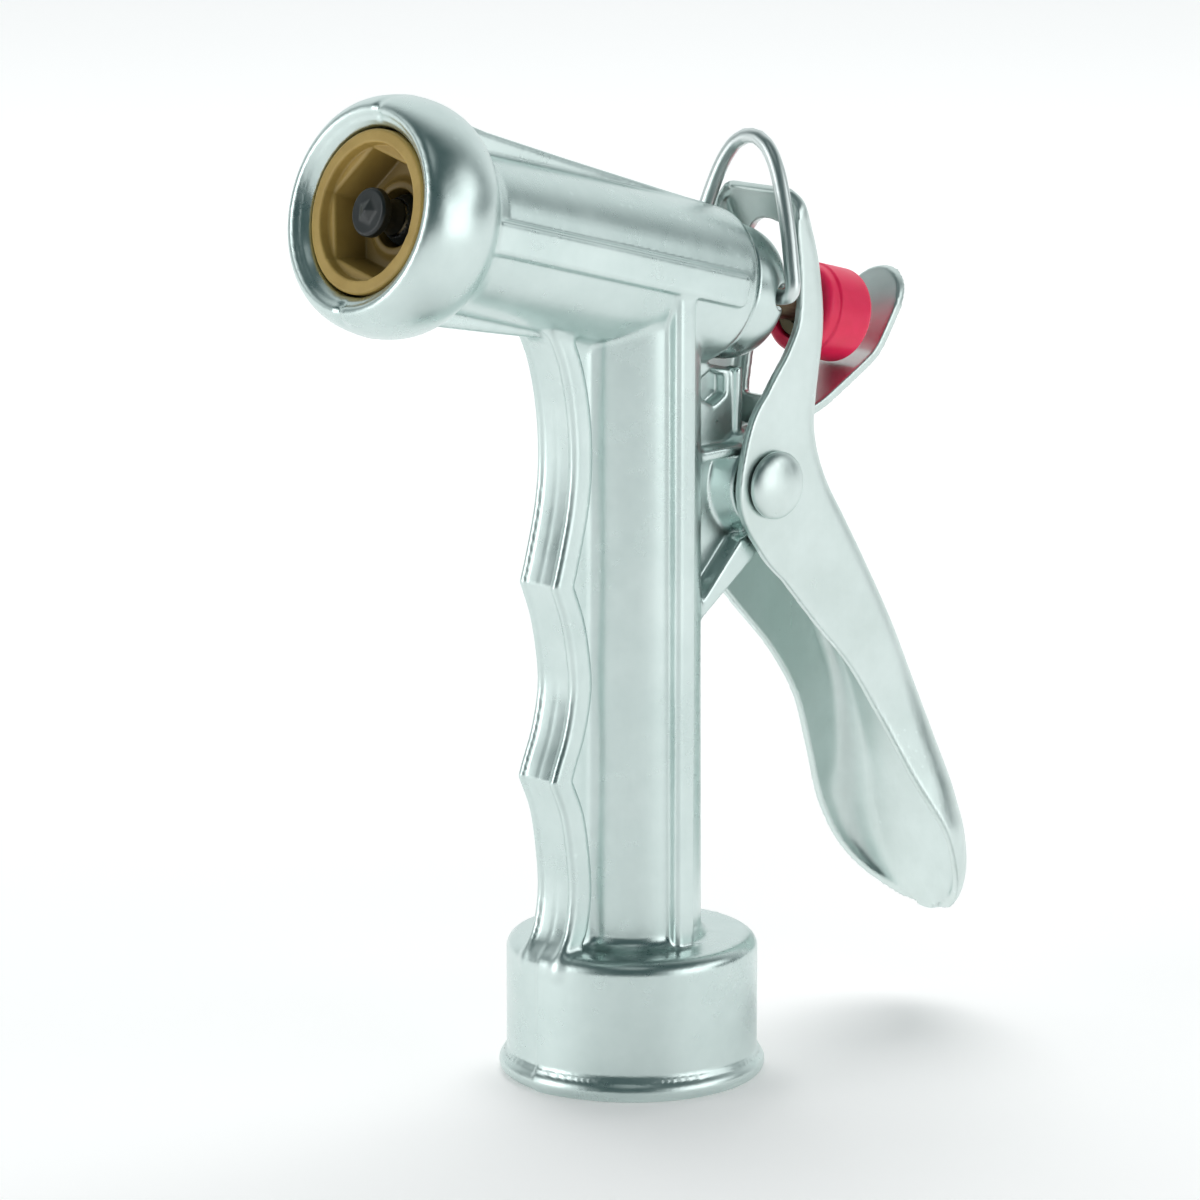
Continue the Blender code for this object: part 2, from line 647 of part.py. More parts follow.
def make_lever(parts, helpers, finish):
    lever = make_lever_shell(parts, finish)
    # the window in the back, with a round top, left by the tab that is pushed out of it
    half = WINDOW_HALF_WIDTH
    low, high = 85.4 * MM, 103.6 * MM
    window = [(-half, low), (half, low)] + arc((0, high), half, 0, 180, 12)
    facing_back = Matrix.Translation((0, 27 * MM, 0)) @ Matrix.Rotation(math.radians(90), 4, "X")
    cut(lever, plate("lever_window", window, 6 * MM, helpers, facing_back))
    cut(lever, cylinder("lever_rivet_holes", PIVOT_BORE_RADIUS, PIVOT - Vector((0.012, 0, 0)),
                        PIVOT + Vector((0.012, 0, 0)), helpers))
    join(lever, make_tab(helpers))
    shade_round(lever)
    return lever


def make_tab(helpers):
    """Tab folded back from the window's lower edge: a ramp, a bend and a rounded upright end."""
    ramp = [(24.9, 83.4), (28.6, 84.6), (33.0, 87.0), (37.2, 89.5), (38.6, 90.6), (39.9, 92.3),
            (42.6, 96.6), (44.6, 100.2), (45.2, 101.4)]
    centre = [(y * MM, z * MM) for y, z in ramp]
    back = offset_path(centre, -SHEET / 2)
    front = offset_path(centre, SHEET / 2)
    tab = plate("lever_tab", back + list(reversed(front)), TAB_HALF_WIDTH, helpers)
    outline = ([(-TAB_HALF_WIDTH, 70 * MM), (TAB_HALF_WIDTH, 70 * MM)]
               + arc((0, 95.6 * MM), TAB_HALF_WIDTH, 0, 180, 14))
    facing_back = Matrix.Translation((0, 35 * MM, 0)) @ Matrix.Rotation(math.radians(90), 4, "X")
    rounding = plate("tab_rounding", outline, 15 * MM, helpers, facing_back)
    combine(tab, rounding, "INTERSECT")
    return tab


def offset_path(points, distance):
    """The path moved sideways by a distance, in its own plane."""
    path = np.array(points)
    along = np.gradient(path, axis=0)
    along /= np.linalg.norm(along, axis=1)[:, None]
    side = np.stack([-along[:, 1], along[:, 0]], axis=1)
    return [tuple(p) for p in path + side * distance]


def make_rivet(parts, finish):
    face = LEVER_HALF_WIDTH + GAP
    head = 1.9 * MM
    dome = [(RIVET_HEAD_RADIUS * math.sin(a), face + 0.35 * MM + (head - 0.35 * MM) * math.cos(a))
            for a in np.radians([0, 25, 50, 72, 90])]
    upper = dome + [(RIVET_HEAD_RADIUS, face), (RIVET_RADIUS, face)]
    lower = [(r, -x) for r, x in reversed(upper)]
    rivet = turned("pivot_rivet", upper + lower, parts, finish=finish, steps=SMALL_STEPS, closed=False)
    rivet.matrix_world = Matrix.Translation(PIVOT) @ Matrix.Rotation(math.radians(90), 4, "Y")
    return rivet


# ---------------------------------------------------------------- knob and hose washer

def make_knob(parts, frame, finish, brass):
    edge = 1.0 * MM
    front, rear, radius = KNOB_FRONT, KNOB_REAR, KNOB_RADIUS
    bushing_radius, bushing_rear = 4.0 * MM, -36.4 * MM
    step = front - 2.0 * MM
    profile = ([(bushing_radius + GAP, front), (radius - edge, front)]
               + arc((radius - edge - 0.25 * MM, front - edge), edge, 60, 0, 3)
               + [(radius - 0.25 * MM, step), (radius, step - 0.3 * MM)]
               + arc((radius - edge, rear + edge), edge, 0, -90, 4)
               + [(0, rear), (0, bushing_rear - GAP), (bushing_radius + GAP, bushing_rear - GAP)])
    knob = turned("adjusting_knob", profile, parts, frame, finish, closed=True)
    turned("knob_bushing", ring_profile(STEM_CLEARANCE, bushing_radius, bushing_rear, front - 0.4 * MM,
                                        0.2 * MM), parts, frame, brass, steps=SMALL_STEPS)
    return knob


def make_hose_washer(parts, finish):
    turned("hose_washer", ring_profile(8.2 * MM, HOSE_BORE_RADIUS - GAP, 12.2 * MM,
                                       HOSE_BORE_DEPTH - GAP, 0.4 * MM), parts, finish=finish)


# ---------------------------------------------------------------- assembly

def main():
    clear_scene()
    parts = new_collection("hose_nozzle")
    helpers = new_collection("cutters")
    barrel = new_empty("barrel_axis", barrel_matrix(), parts)
    clip_frame = new_empty("clip_pivot", Matrix.Translation(CLIP_PIVOT)
                           @ Matrix.Rotation(-CLIP_LEAN, 4, "X"), parts)
    bpy.context.view_layer.update()

    cast_zinc = material("cast_zinc", (0.62, 0.64, 0.64), 0.32, 1.0)
    finishes = {
        "rubber": material("black_rubber", (0.03, 0.03, 0.03), 0.7, 0.0),
        "brass": material("brass", (0.78, 0.58, 0.27), 0.3, 1.0),
        "steel": material("spring_steel", (0.66, 0.67, 0.68), 0.28, 1.0),
    }
    plated = material("plated_sheet", (0.66, 0.69, 0.69), 0.3, 1.0)
    tan_plastic = material("tan_plastic", (0.58, 0.38, 0.11), 0.4, 0.0)
    black_plastic = material("black_plastic", (0.02, 0.02, 0.022), 0.45, 0.0)
    red_plastic = material("red_plastic", (0.85, 0.05, 0.13), 0.4, 0.0)

    make_body(parts, helpers, cast_zinc)
    make_insert(parts, helpers, barrel, tan_plastic)
    make_valve_tip(parts, barrel, black_plastic)
    make_stem(parts, barrel, finishes["brass"])
    make_stem_rings(parts, barrel, finishes)
    make_spring(parts, barrel, finishes["steel"])
    make_packing_nut(parts, helpers, barrel, cast_zinc)
    make_clip(parts, clip_frame, finishes["steel"])
    make_lever(parts, helpers, plated)
    make_rivet(parts, plated)
    make_knob(parts, barrel, red_plastic, finishes["brass"])
    make_hose_washer(parts, finishes["rubber"])
    carry_to_frame(parts, helpers)


def carry_to_frame(parts, helpers):
    """Hangs every loose object on one empty that stands where the handle's axis does."""
    loose = [obj for obj in [*parts.objects, *helpers.objects] if obj.parent is None]
    root = new_empty("handle_axis", Matrix.Translation((0, HANDLE_AXIS_Y, 0)), parts)
    for obj in loose:
        obj.parent = root


main()
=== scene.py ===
"""The looks of the hose nozzle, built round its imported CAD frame.

Cast, moulded and turned pieces are described by distance functions: a function gives, for
points in millimetres, how far each lies outside the piece (negative inside). Plates and turned
profiles are joined with soft minima, which leave the fillets a casting has, and meshed once.
The lever is a bent sheet and the clip a wire, so those are made from a loft and a curve.

Millimetre coordinates: x and y from the handle's own axis, z up from the foot.
"""

import json
import math

import bmesh
import bpy
import numpy as np
from mathutils import Matrix, Vector


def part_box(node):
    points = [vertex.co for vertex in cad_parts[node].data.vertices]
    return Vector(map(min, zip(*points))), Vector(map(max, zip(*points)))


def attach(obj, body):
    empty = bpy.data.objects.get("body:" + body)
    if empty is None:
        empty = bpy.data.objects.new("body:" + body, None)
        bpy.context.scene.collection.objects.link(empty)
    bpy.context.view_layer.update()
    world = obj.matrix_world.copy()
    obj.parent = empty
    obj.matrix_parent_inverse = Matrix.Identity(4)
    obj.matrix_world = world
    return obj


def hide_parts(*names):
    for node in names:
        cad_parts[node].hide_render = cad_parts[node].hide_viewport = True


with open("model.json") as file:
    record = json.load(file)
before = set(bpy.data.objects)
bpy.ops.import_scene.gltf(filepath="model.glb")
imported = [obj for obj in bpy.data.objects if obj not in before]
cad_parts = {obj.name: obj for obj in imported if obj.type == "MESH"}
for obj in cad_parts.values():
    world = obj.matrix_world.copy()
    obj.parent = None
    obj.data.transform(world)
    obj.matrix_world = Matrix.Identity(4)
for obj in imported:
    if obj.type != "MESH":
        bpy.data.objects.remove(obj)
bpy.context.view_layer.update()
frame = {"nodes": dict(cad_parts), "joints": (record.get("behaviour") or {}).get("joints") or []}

MM = 0.001


# ---------------------------------------------------------------- places read from the frame

def centre(node):
    low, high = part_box(node)
    return (low + high) / 2


def joint(name):
    return next(j for j in frame["joints"] if j["name"] == name)


HANDLE = Vector((0, centre("hose_washer").y, 0))
BACK = Vector(joint("stem_pull")["axis"]).normalized()
STEM_MIDDLE = centre("valve_stem")
BARREL = STEM_MIDDLE - BACK * ((STEM_MIDDLE.y - HANDLE.y) / BACK.y)
BARREL_Z = BARREL.z / MM
PIVOT = (Vector(joint("trigger_squeeze")["pos_m"]) - HANDLE) / MM
CLIP_PIVOT = (Vector(joint("clip_swing")["pos_m"]) - HANDLE) / MM
RISE_COS, RISE_SIN = BACK.y, -BACK.z


def world_from_mm():
    return Matrix.Translation(HANDLE) @ Matrix.Scale(MM, 4)


def world_from_barrel():
    """Barrel millimetres to the world: X across, Y standing up from the barrel, Z to the mouth."""
    up = Vector((0, RISE_SIN, RISE_COS))
    axes = Matrix((Vector((1, 0, 0)), up, -BACK)).transposed().to_4x4()
    return Matrix.Translation(BARREL) @ axes @ Matrix.Scale(MM, 4)


# ---------------------------------------------------------------- distance functions

def outline_distance(a, b, outline):
    """Signed distance in a plane to a closed outline. Edges on the axis a = 0 don't count."""
    nearest = np.full(a.shape, 1e9, np.float32)
    inside = np.zeros(a.shape, bool)
    points = [(float(u), float(v)) for u, v in outline]
    for (a0, b0), (a1, b1) in zip(points, points[1:] + points[:1]):
        along_a, along_b = a1 - a0, b1 - b0
        length = along_a ** 2 + along_b ** 2
        if length < 1e-10 or (a0 == 0 and a1 == 0):
            continue
        share = np.clip(((a - a0) * along_a + (b - b0) * along_b) / length, 0, 1)
        np.minimum(nearest, (a - a0 - share * along_a) ** 2 + (b - b0 - share * along_b) ** 2, out=nearest)
        if along_b:
            crosses = ((b0 > b) != (b1 > b)) & (a < a0 + along_a * (b - b0) / along_b)
            inside ^= crosses
    distance = np.sqrt(nearest)
    return np.where(inside, -distance, distance)


def extruded(across, plane_distance, half, edge):
    """A plate of the given half thickness with rounded edges."""
    w = np.abs(across) - half + edge
    d = plane_distance + edge
    return np.minimum(np.maximum(w, d), 0) + np.hypot(np.maximum(w, 0), np.maximum(d, 0)) - edge


def block(points, low, high, edge):
    """A box between two corners with rounded edges; points are three coordinate arrays."""
    outside, deepest = 0, -1e9
    for value, lowest, highest in zip(points, low, high):
        q = np.abs(value - (lowest + highest) / 2) - (highest - lowest) / 2 + edge
        outside = outside + np.maximum(q, 0) ** 2
        deepest = np.maximum(deepest, q)
    return np.sqrt(outside) + np.minimum(deepest, 0) - edge


def joined(first, *others, soft=0.8):
    """Union with a fillet of about the given size in millimetres."""
    for other in others:
        near = np.maximum(soft - np.abs(first - other), 0)
        first = np.minimum(first, other) - near ** 2 / (4 * soft)
    return first


def carved(first, *cutters, soft=0.5):
    """Difference whose cut edges are eased by about the given size."""
    for cutter in cutters:
        near = np.maximum(soft - np.abs(first + cutter), 0)
        first = np.maximum(first, -cutter) + near ** 2 / (4 * soft)
    return first


def arc(centre_point, radius, first, last, count):
    angles = np.radians(np.linspace(first, last, count))
    return [(centre_point[0] + radius * math.cos(a), centre_point[1] + radius * math.sin(a)) for a in angles]


def through(points, per_span):
    """Points of a smooth curve through the given ones (Catmull-Rom), ends included."""
    given = np.array(points, float)
    padded = np.vstack([2 * given[0] - given[1], given, 2 * given[-1] - given[-2]])
    out = []
    for i in range(1, len(padded) - 2):
        before, start, end, after = padded[i - 1:i + 3]
        for t in np.arange(per_span) / per_span:
            out.append(0.5 * (2 * start + (end - before) * t
                              + (2 * before - 5 * start + 4 * end - after) * t ** 2
                              + (3 * start - before - 3 * end + after) * t ** 3))
    out.append(given[-1])
    return [tuple(p) for p in out]


# ---------------------------------------------------------------- meshing a distance function

CORNERS = [(i, j, k) for i in (0, 1) for j in (0, 1) for k in (0, 1)]
TETRAHEDRON = np.array([(1, 1, 1), (1, -1, -1), (-1, 1, -1), (-1, -1, 1)], np.float32)


def sampled(distance, low, shape, pitch):
    """The distance on a grid: exact near the surface, elsewhere only its sign counts."""
    values = np.ones(shape, np.float32)
    size = 8
    blocks = np.argwhere(np.ones([n // size for n in shape], bool))
    while len(blocks):
        middles = low + (blocks * size + (size - 1) / 2) * pitch
        found = distance(middles.astype(np.float32))
        view = values.reshape([n for side in shape for n in (side // size, size)])
        view[blocks[:, 0], :, blocks[:, 1], :, blocks[:, 2], :] = found[:, None, None, None]
        if size == 1:
            break
        reach = pitch * (size * math.sqrt(3) / 2 + 2)
        blocks = blocks[np.abs(found) < reach]
        blocks = (blocks[:, None] * 2 + np.array(CORNERS)[None]).reshape(-1, 3)
        size //= 2
    return values


def surface_cells(values):
    """Grid cells that the surface crosses, with a point in each from its edges' crossings."""
    inside = values < 0
    count = np.zeros([n - 1 for n in values.shape], np.uint8)
    for i, j, k in CORNERS:
        count += inside[i:i + count.shape[0], j:j + count.shape[1], k:k + count.shape[2]]
    cells = np.argwhere((count > 0) & (count < 8))
    total = np.zeros(cells.shape)
    crossings = np.zeros(len(cells))
    for first in CORNERS:
        for axis in range(3):
            if first[axis]:
                continue
            second = tuple(1 if n == axis else c for n, c in enumerate(first))
            v0 = values[tuple((cells + first).T)]
            v1 = values[tuple((cells + second).T)]
            crosses = (v0 < 0) != (v1 < 0)
            share = np.where(crosses, v0 / np.where(crosses, v0 - v1, 1), 0)
            place = np.tile(np.array(first, float), (len(cells), 1))
            place[:, axis] += share
            total += place * crosses[:, None]
            crossings += crosses
    return inside, cells, cells + total / crossings[:, None]


def surface_quads(inside, cells):
    """One quad round each grid edge whose ends lie on opposite sides of the surface."""
    number = np.full([n - 1 for n in inside.shape], -1, np.int64)
    number[tuple(cells.T)] = np.arange(len(cells))
    quads = []
    for axis in range(3):
        u, v = (axis + 1) % 3, (axis + 2) % 3
        start = [slice(1, n - 1) for n in inside.shape]
        start[axis] = slice(0, inside.shape[axis] - 1)
        end = list(start)
        end[axis] = slice(1, inside.shape[axis])
        here, there = inside[tuple(start)], inside[tuple(end)]
        for entering, order in ((False, 1), (True, -1)):
            edges = np.argwhere((here != there) & (here == (not entering)))
            edges += [0 if n == axis else 1 for n in range(3)]
            corners = []
            for back_u, back_v in ((1, 1), (0, 1), (0, 0), (1, 0)):
                cell = edges.copy()
                cell[:, u] -= back_u
                cell[:, v] -= back_v
                corners.append(number[tuple(cell.T)])
            quads.append(np.stack(corners[::order], axis=1))
    return np.vstack(quads)


def mesh_of(name, distance, low, high, pitch, matrix):
    """Meshes the zero surface of a distance function between two corners, all in millimetres."""
    low = np.array(low, float) - 3 * pitch
    shape = [8 * math.ceil((side / pitch + 4) / 8) for side in np.array(high, float) - low]
    inside, cells, points = surface_cells(sampled(distance, low, shape, pitch))
    points = low + points * pitch
    step = 0.04
    for _ in range(3):  # settle each point on the true surface
        around = [distance((points + step * t).astype(np.float32)) for t in TETRAHEDRON]
        slope = sum(a[:, None] * t for a, t in zip(around, TETRAHEDRON))
        slope /= np.maximum(np.linalg.norm(slope, axis=1), 1e-6)[:, None]
        move = np.clip(sum(around) / 4, -0.5 * pitch, 0.5 * pitch)
        points -= slope * move[:, None]
    mesh = bpy.data.meshes.new(name)
    quads = surface_quads(inside, cells)
    mesh.vertices.add(len(points))
    mesh.vertices.foreach_set("co", points.astype(np.float32).ravel())
    mesh.loops.add(quads.size)
    mesh.loops.foreach_set("vertex_index", quads.astype(np.int32).ravel())
    mesh.polygons.add(len(quads))
    mesh.polygons.foreach_set("loop_start", np.arange(0, quads.size, 4, dtype=np.int32))
    mesh.update(calc_edges=True)
    mesh.validate()
    mesh.transform(matrix)
    mesh.shade_smooth()
    obj = bpy.data.objects.new(name, mesh)
    bpy.context.scene.collection.objects.link(obj)
    return obj


def finished(obj, body, slot, finish, *nodes):
    """Gives a piece its material, its body and the CAD nodes it stands for. The slot argument is not used.
    """
    obj.data.materials.clear()
    obj.data.materials.append(finish)
    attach(obj, body)
    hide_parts(*nodes)
    return obj


# ---------------------------------------------------------------- body: outlines in millimetres

CUP_RADIUS = 16.2
CUP_HEIGHT = 18.2
SHOULDER_ROUND = 1.8
RIM_RADIUS = 17.2
RIM_BEAD = 1.4
RIM_NECK = 0.7
HANDLE_RADIUS_LOW = 8.9
HANDLE_RADIUS_TOP = 8.6
HANDLE_FOOT_ROUND = 1.6
HOSE_BORE_RADIUS = 13.1
HOSE_BORE_DEPTH = 15.6
THREAD_PITCH = 2.2
THREAD_DEPTH = 0.75
WATER_PASSAGE_RADIUS = 5.4
BARREL_RADIUS = 10.3
BARREL_REAR = -13.5
BARREL_REAR_ROUND = 2.2
CHAMBER_RADIUS = 7.0
INSERT_STEP = 34.2
INSERT_BORE_RADIUS = 10.5
INSERT_FRONT = 44.9
GLAND_BORE_RADIUS = 8.0
GLAND_STEP = -6.0
FIN_HALF_WIDTH = 1.5
RIDGE_HALF_WIDTH = 3.65
RIDGE_RIM_DEPTH = 3.0
RIDGE_WEB_HALF_WIDTH = 2.1
LUG_HALF_THICKNESS = 3.6
LUG_RIB_HALF_WIDTH = 6.3
LUG_EYE_RADIUS = 7.2
DIMPLE = (10.7, 88.7)
DIMPLE_RADIUS = 2.3
PIVOT_BORE_RADIUS = 2.7


def handle_outline():
    """(radius, z) down the handle, over the cup's shoulder and round its rolled rim."""
    bead = arc((RIM_RADIUS - RIM_BEAD, RIM_BEAD), RIM_BEAD, 62, -90, 20)
    neck = arc((CUP_RADIUS + RIM_NECK, 3.5), RIM_NECK, 180, 242, 6)
    shoulder = arc((CUP_RADIUS - SHOULDER_ROUND, CUP_HEIGHT - SHOULDER_ROUND), SHOULDER_ROUND, 90, 0, 12)
    foot = arc((HANDLE_RADIUS_LOW + HANDLE_FOOT_ROUND, CUP_HEIGHT + HANDLE_FOOT_ROUND),
               HANDLE_FOOT_ROUND, 180, 270, 10)
    return [(0, BARREL_Z - 3), (HANDLE_RADIUS_TOP, BARREL_Z - 3)] + foot + shoulder + neck + bead + [(0, 0)]


def barrel_outline():
    """(radius, distance) from the mouth's lip back over the collar to the rear edge."""
    lip = through([(11.6, 45.7), (11.95, 46.1), (12.7, 46.25), (13.5, 45.7), (14.2, 44.5), (14.7, 42.8),
                   (14.95, 40.8), (14.8, 38.6), (14.2, 36.6), (13.1, 34.9), (11.8, 33.6), (10.6, 32.5),
                   (10.05, 30.5)], 3)
    rear = arc((BARREL_RADIUS - BARREL_REAR_ROUND, BARREL_REAR + BARREL_REAR_ROUND), BARREL_REAR_ROUND,
               0, -90, 14)
    return [(0, 45.7)] + lip + [(BARREL_RADIUS, 0)] + rear + [(0, BARREL_REAR)]


def bore_outline():
    """(radius, distance) of the stepped bore that runs through the whole barrel."""
    return [(0, 55), (16, 55), (12.4, 47.4), (11.9, 46.2), (11.2, 45.5), (INSERT_BORE_RADIUS, 44.6),
            (INSERT_BORE_RADIUS, INSERT_STEP), (CHAMBER_RADIUS, INSERT_STEP), (CHAMBER_RADIUS, GLAND_STEP),
            (GLAND_BORE_RADIUS, GLAND_STEP), (GLAND_BORE_RADIUS, -22), (0, -22)]


def ridge_front():
    """(y, z) of the ridge's front edge from the barrel down to the cup, with its two finger points."""
    top = through([(-16.6, 98.6), (-14.6, 94.0), (-13.3, 88.0), (-12.9, 81.5), (-13.5, 75.5),
                   (-15.0, 69.3), (-16.0, 65.9)], 5)
    middle = through([(-16.0, 65.9), (-14.2, 61.0), (-13.2, 55.5), (-13.1, 51.5), (-14.1, 46.7),
                      (-15.6, 42.8), (-16.3, 40.8)], 5)
    low = through([(-16.3, 40.8), (-14.4, 36.2), (-13.4, 30.5), (-13.1, 25.5), (-13.8, 21.0),
                   (-15.0, 18.4), (-15.6, 16.0)], 5)
    return top + middle[1:] + low[1:]


def finger_ridge(x, y, z):
    """The web under the grip's front and the wider rim along its edge, with a thin bead each side."""
    front = ridge_front()
    rim = outline_distance(y, z, front + [(a + RIDGE_RIM_DEPTH, b) for a, b in reversed(front)])
    web = outline_distance(y, z, [(a + 1.0, b) for a, b in front] + [(-5, front[-1][1]), (-5, front[0][1])])
    edge = np.hypot(np.abs(x) - 3.0, rim + 0.40) - 0.62
    hollow = 0.22 * (1 - (x / 3.6) ** 2).clip(0)
    plate = extruded(x, rim + hollow, RIDGE_HALF_WIDTH, 0.5)
    return joined(joined(plate, edge, soft=0.2), extruded(x, web, RIDGE_WEB_HALF_WIDTH, 0.2), soft=0.35)


def lug(x, y, z):
    """Plate behind the handle for the lever's pivot, with its bosses and ribs."""
    outline = ([(4, 57.0), (9.3, 60.6)] + arc((PIVOT.y, PIVOT.z), LUG_EYE_RADIUS, -50, 108, 24)
               + [(15, 83.4), (15, 90.6), (11.5, 90.9), (8.5, 93), (4, 97)])
    web = extruded(x, outline_distance(y, z, outline), LUG_HALF_THICKNESS, 0.5)
    brim = block((np.abs(x), y, z), (2, 14.1, 82.0), (4.3, 15.2, 90.9), 0.35)
    slope = [(5.5, 60.8), (6.6, 59.6), (19.2, 69.2), (18.3, 70.9), (13.0, 68.9)]
    ledge = [(5, 79.6), (13.5, 79.9), (13.5, 81.3), (5, 81.1)]
    cone = [(0, 6.5), (5.6, 6.5), (7.1, 3.4), (7.1, 0), (0, 0)]
    boss = outline_distance(np.hypot(y - PIVOT.y, z - PIVOT.z), np.abs(x), cone) - 0.02
    ribs = [extruded(x, outline_distance(y, z, slope), LUG_RIB_HALF_WIDTH, 0.35),
            extruded(x, outline_distance(y, z, ledge), LUG_RIB_HALF_WIDTH, 0.45)]
    return joined(web, brim, boss, *ribs, soft=0.35)


def barrel_place(y, z):
    """Distance along the barrel towards its mouth, and height over its axis."""
    along = -y * RISE_COS + (z - BARREL_Z) * RISE_SIN
    up = y * RISE_SIN + (z - BARREL_Z) * RISE_COS
    return along, up


def side_ribs(side, y, z, s, h):
    """The upright rib on each side of the handle and the wide band along each side of the barrel."""
    rib = block((side, y, z), (4, -1.7, 10), (10.6, 1.5, 103.6), 0.75)
    band = extruded(side - 5, block((h, s), (-2.2, -10.6), (2.2, 36), 1.1), 6.0, 0.7)
    return rib, band


def parting_fins(x, s, h):
    """Low ribs on the barrel's parting line, above and below."""
    top = [(36, 4), (36, 13.2), (34, 13.2), (29.4, 12.6), (15.7, 11.7), (1.6, 10.9), (-9, 10.3), (-9, 4)]
    low = [(36, -4), (36, -12.2), (34, -12.2), (23.2, -11.5), (14.6, -10.9), (5.8, -10.3), (5.8, -4)]
    return [extruded(x, outline_distance(s, h, outline), FIN_HALF_WIDTH, 0.45) for outline in (top, low)]


def parting_line(x, y, z, s):
    """How far the skin stands out along the mould's parting line, and in across the mouth's lip."""
    front = (-y / 3).clip(0, 1) * ((18.4 - z) / 1.2).clip(0, 1)
    step = 0.14 / (1 + np.exp(-(x / 0.09).clip(-40, 40))) * np.exp(-(x / 4.0) ** 2) * front
    groove = 0.30 * np.exp(-(x / 0.5) ** 2) * ((s - 43.6) / 1.6).clip(0, 1)
    return 0.05 * np.exp(-(x / 0.3) ** 2) + step - groove


def hose_socket(x, y, z, radius):
    """The hose cup's bore with its spiral thread, eased for the thread's slope."""
    wave = np.abs((z / THREAD_PITCH - np.arctan2(y, x) / math.tau) % 1 - 0.5) * 2
    thread = THREAD_DEPTH * np.clip(1.25 * wave - 0.35, 0, 0.65) * ((z > 1.6) & (z < 12))
    outline = [(0, -6), (13.9, -6), (13.9, -0.6), (HOSE_BORE_RADIUS, 0.9),
               (HOSE_BORE_RADIUS, HOSE_BORE_DEPTH), (0, HOSE_BORE_DEPTH)]
    return outline_distance(radius + thread, z, outline) / 1.3


def lug_dimple(side, y, z):
    """Round hollow with six slight flats in each side of the lug."""
    across, up = y - DIMPLE[0], z - DIMPLE[1]
    radius = np.hypot(across, up)
    sector = (np.arctan2(up, across) + math.pi / 6) % (math.pi / 3) - math.pi / 6
    return np.maximum(np.maximum(radius * np.cos(sector) - 2.05, radius - DIMPLE_RADIUS), 1.8 - side)


def body_distance(points):
    """The whole casting: handle, barrel, ribs, ridge and lug, less its bores, socket and dimples."""
    x, y, z = points.T
    s, h = barrel_place(y, z)
    side = np.abs(x)
    radius = np.hypot(x, y)
    barrel_radius = np.hypot(x, h)

    handle = outline_distance(radius, z, handle_outline())
    barrel = outline_distance(barrel_radius, s, barrel_outline())
    rib, band = side_ribs(side, y, z, s, h)
    solid = joined(handle, joined(barrel, band, *parting_fins(x, s, h), soft=0.4), soft=0.5)
    solid = joined(solid, rib, soft=0.5)
    solid = joined(joined(solid, finger_ridge(x, y, z), soft=1.3), lug(x, y, z), soft=0.5)
    solid = solid - parting_line(x, y, z, s)

    passage = [(0, 5), (WATER_PASSAGE_RADIUS, 5), (WATER_PASSAGE_RADIUS, BARREL_Z), (0, BARREL_Z)]
    solid = carved(solid, hose_socket(x, y, z, radius), outline_distance(radius, z, passage),
                   outline_distance(barrel_radius, s, bore_outline()), soft=0.35)
    pivot = np.hypot(y - PIVOT.y, z - PIVOT.z) - PIVOT_BORE_RADIUS
    return carved(solid, lug_dimple(side, y, z), pivot, soft=0.4)


def make_body(finish):
    low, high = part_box("body")
    low, high = (low - HANDLE) / MM, (high - HANDLE) / MM
    obj = mesh_of("cast_body", body_distance, low, high, 0.36, world_from_mm())
    return finished(obj, "nozzle_body", "cast_zinc", finish, "body")


# ---------------------------------------------------------------- barrel contents

def insert_distance(points):
    """Front insert: a ring with a six-sided tapering pocket round the water hole."""
    x, h, s = points.T
    radius = np.hypot(x, h)
    outside = [(0, INSERT_FRONT), (9.95, INSERT_FRONT), (10.2, 44.65), (10.2, 35.2), (7.2, 35.2),
               (7.0, 37.3), (0, 37.3)]
    ring = outline_distance(radius, s, outside)
    angle = np.arctan2(h, x) + math.radians(42)
    sector = (angle + math.pi / 6) % (math.pi / 3) - math.pi / 6
    flat = radius * np.cos(sector)
    floor, taper = 39.3, 0.19
    wide = 6.35 + (s - floor) * taper
    pocket = np.maximum((flat - wide) / math.hypot(1, taper), floor - s)
    mouth = np.maximum(radius - 8.5 - (s - INSERT_FRONT).clip(-9, 2) * 0.12, 43.6 - s)
    pocket = joined(pocket, mouth, soft=0.3)
    hole = radius - 3.6
    collar = outline_distance(radius, s, [(3.6, 40.0), (4.5, 40.0), (5.2, floor), (5.2, 38), (3.6, 38)])
    solid = carved(ring, pocket, soft=0.25)
    solid = joined(solid, collar, soft=0.3)
    return carved(solid, hole, soft=0.25)


def make_insert(finish):
    obj = mesh_of("front_insert", insert_distance, (-10.2, -10.2, 35.2), (10.2, 10.2, INSERT_FRONT), 0.2,
                  world_from_barrel())
    return finished(obj, "nozzle_body", "tan_plastic", finish, "nozzle_insert")


def tip_distance(points):
    """Valve tip: a button with a low five-sided point, its neck, and the cone that covers the washer."""
    x, h, s = points.T
    radius = np.hypot(x, h)
    profile = [(0, 44.65), (2.75, 44.65), (3.05, 44.35), (3.05, 43.4), (1.9, 42.6), (1.9, 41.4),
               (2.3, 40.4), (3.1, 38.9), (3.3, 38.0), (3.3, 35.8), (6.2, 35.8), (6.2, 34.9),
               (2.35, 34.9), (2.35, 40.35), (0, 40.35)]
    solid = outline_distance(radius, s, profile)
    angle = np.arctan2(h, x) + 0.5
    sector = (angle + math.pi / 5) % (math.tau / 5) - math.pi / 5
    pyramid = np.maximum(radius * np.cos(sector) * 0.42 + (s - 45.3) * 0.9, 44.3 - s)
    return joined(solid, pyramid, soft=0.12)


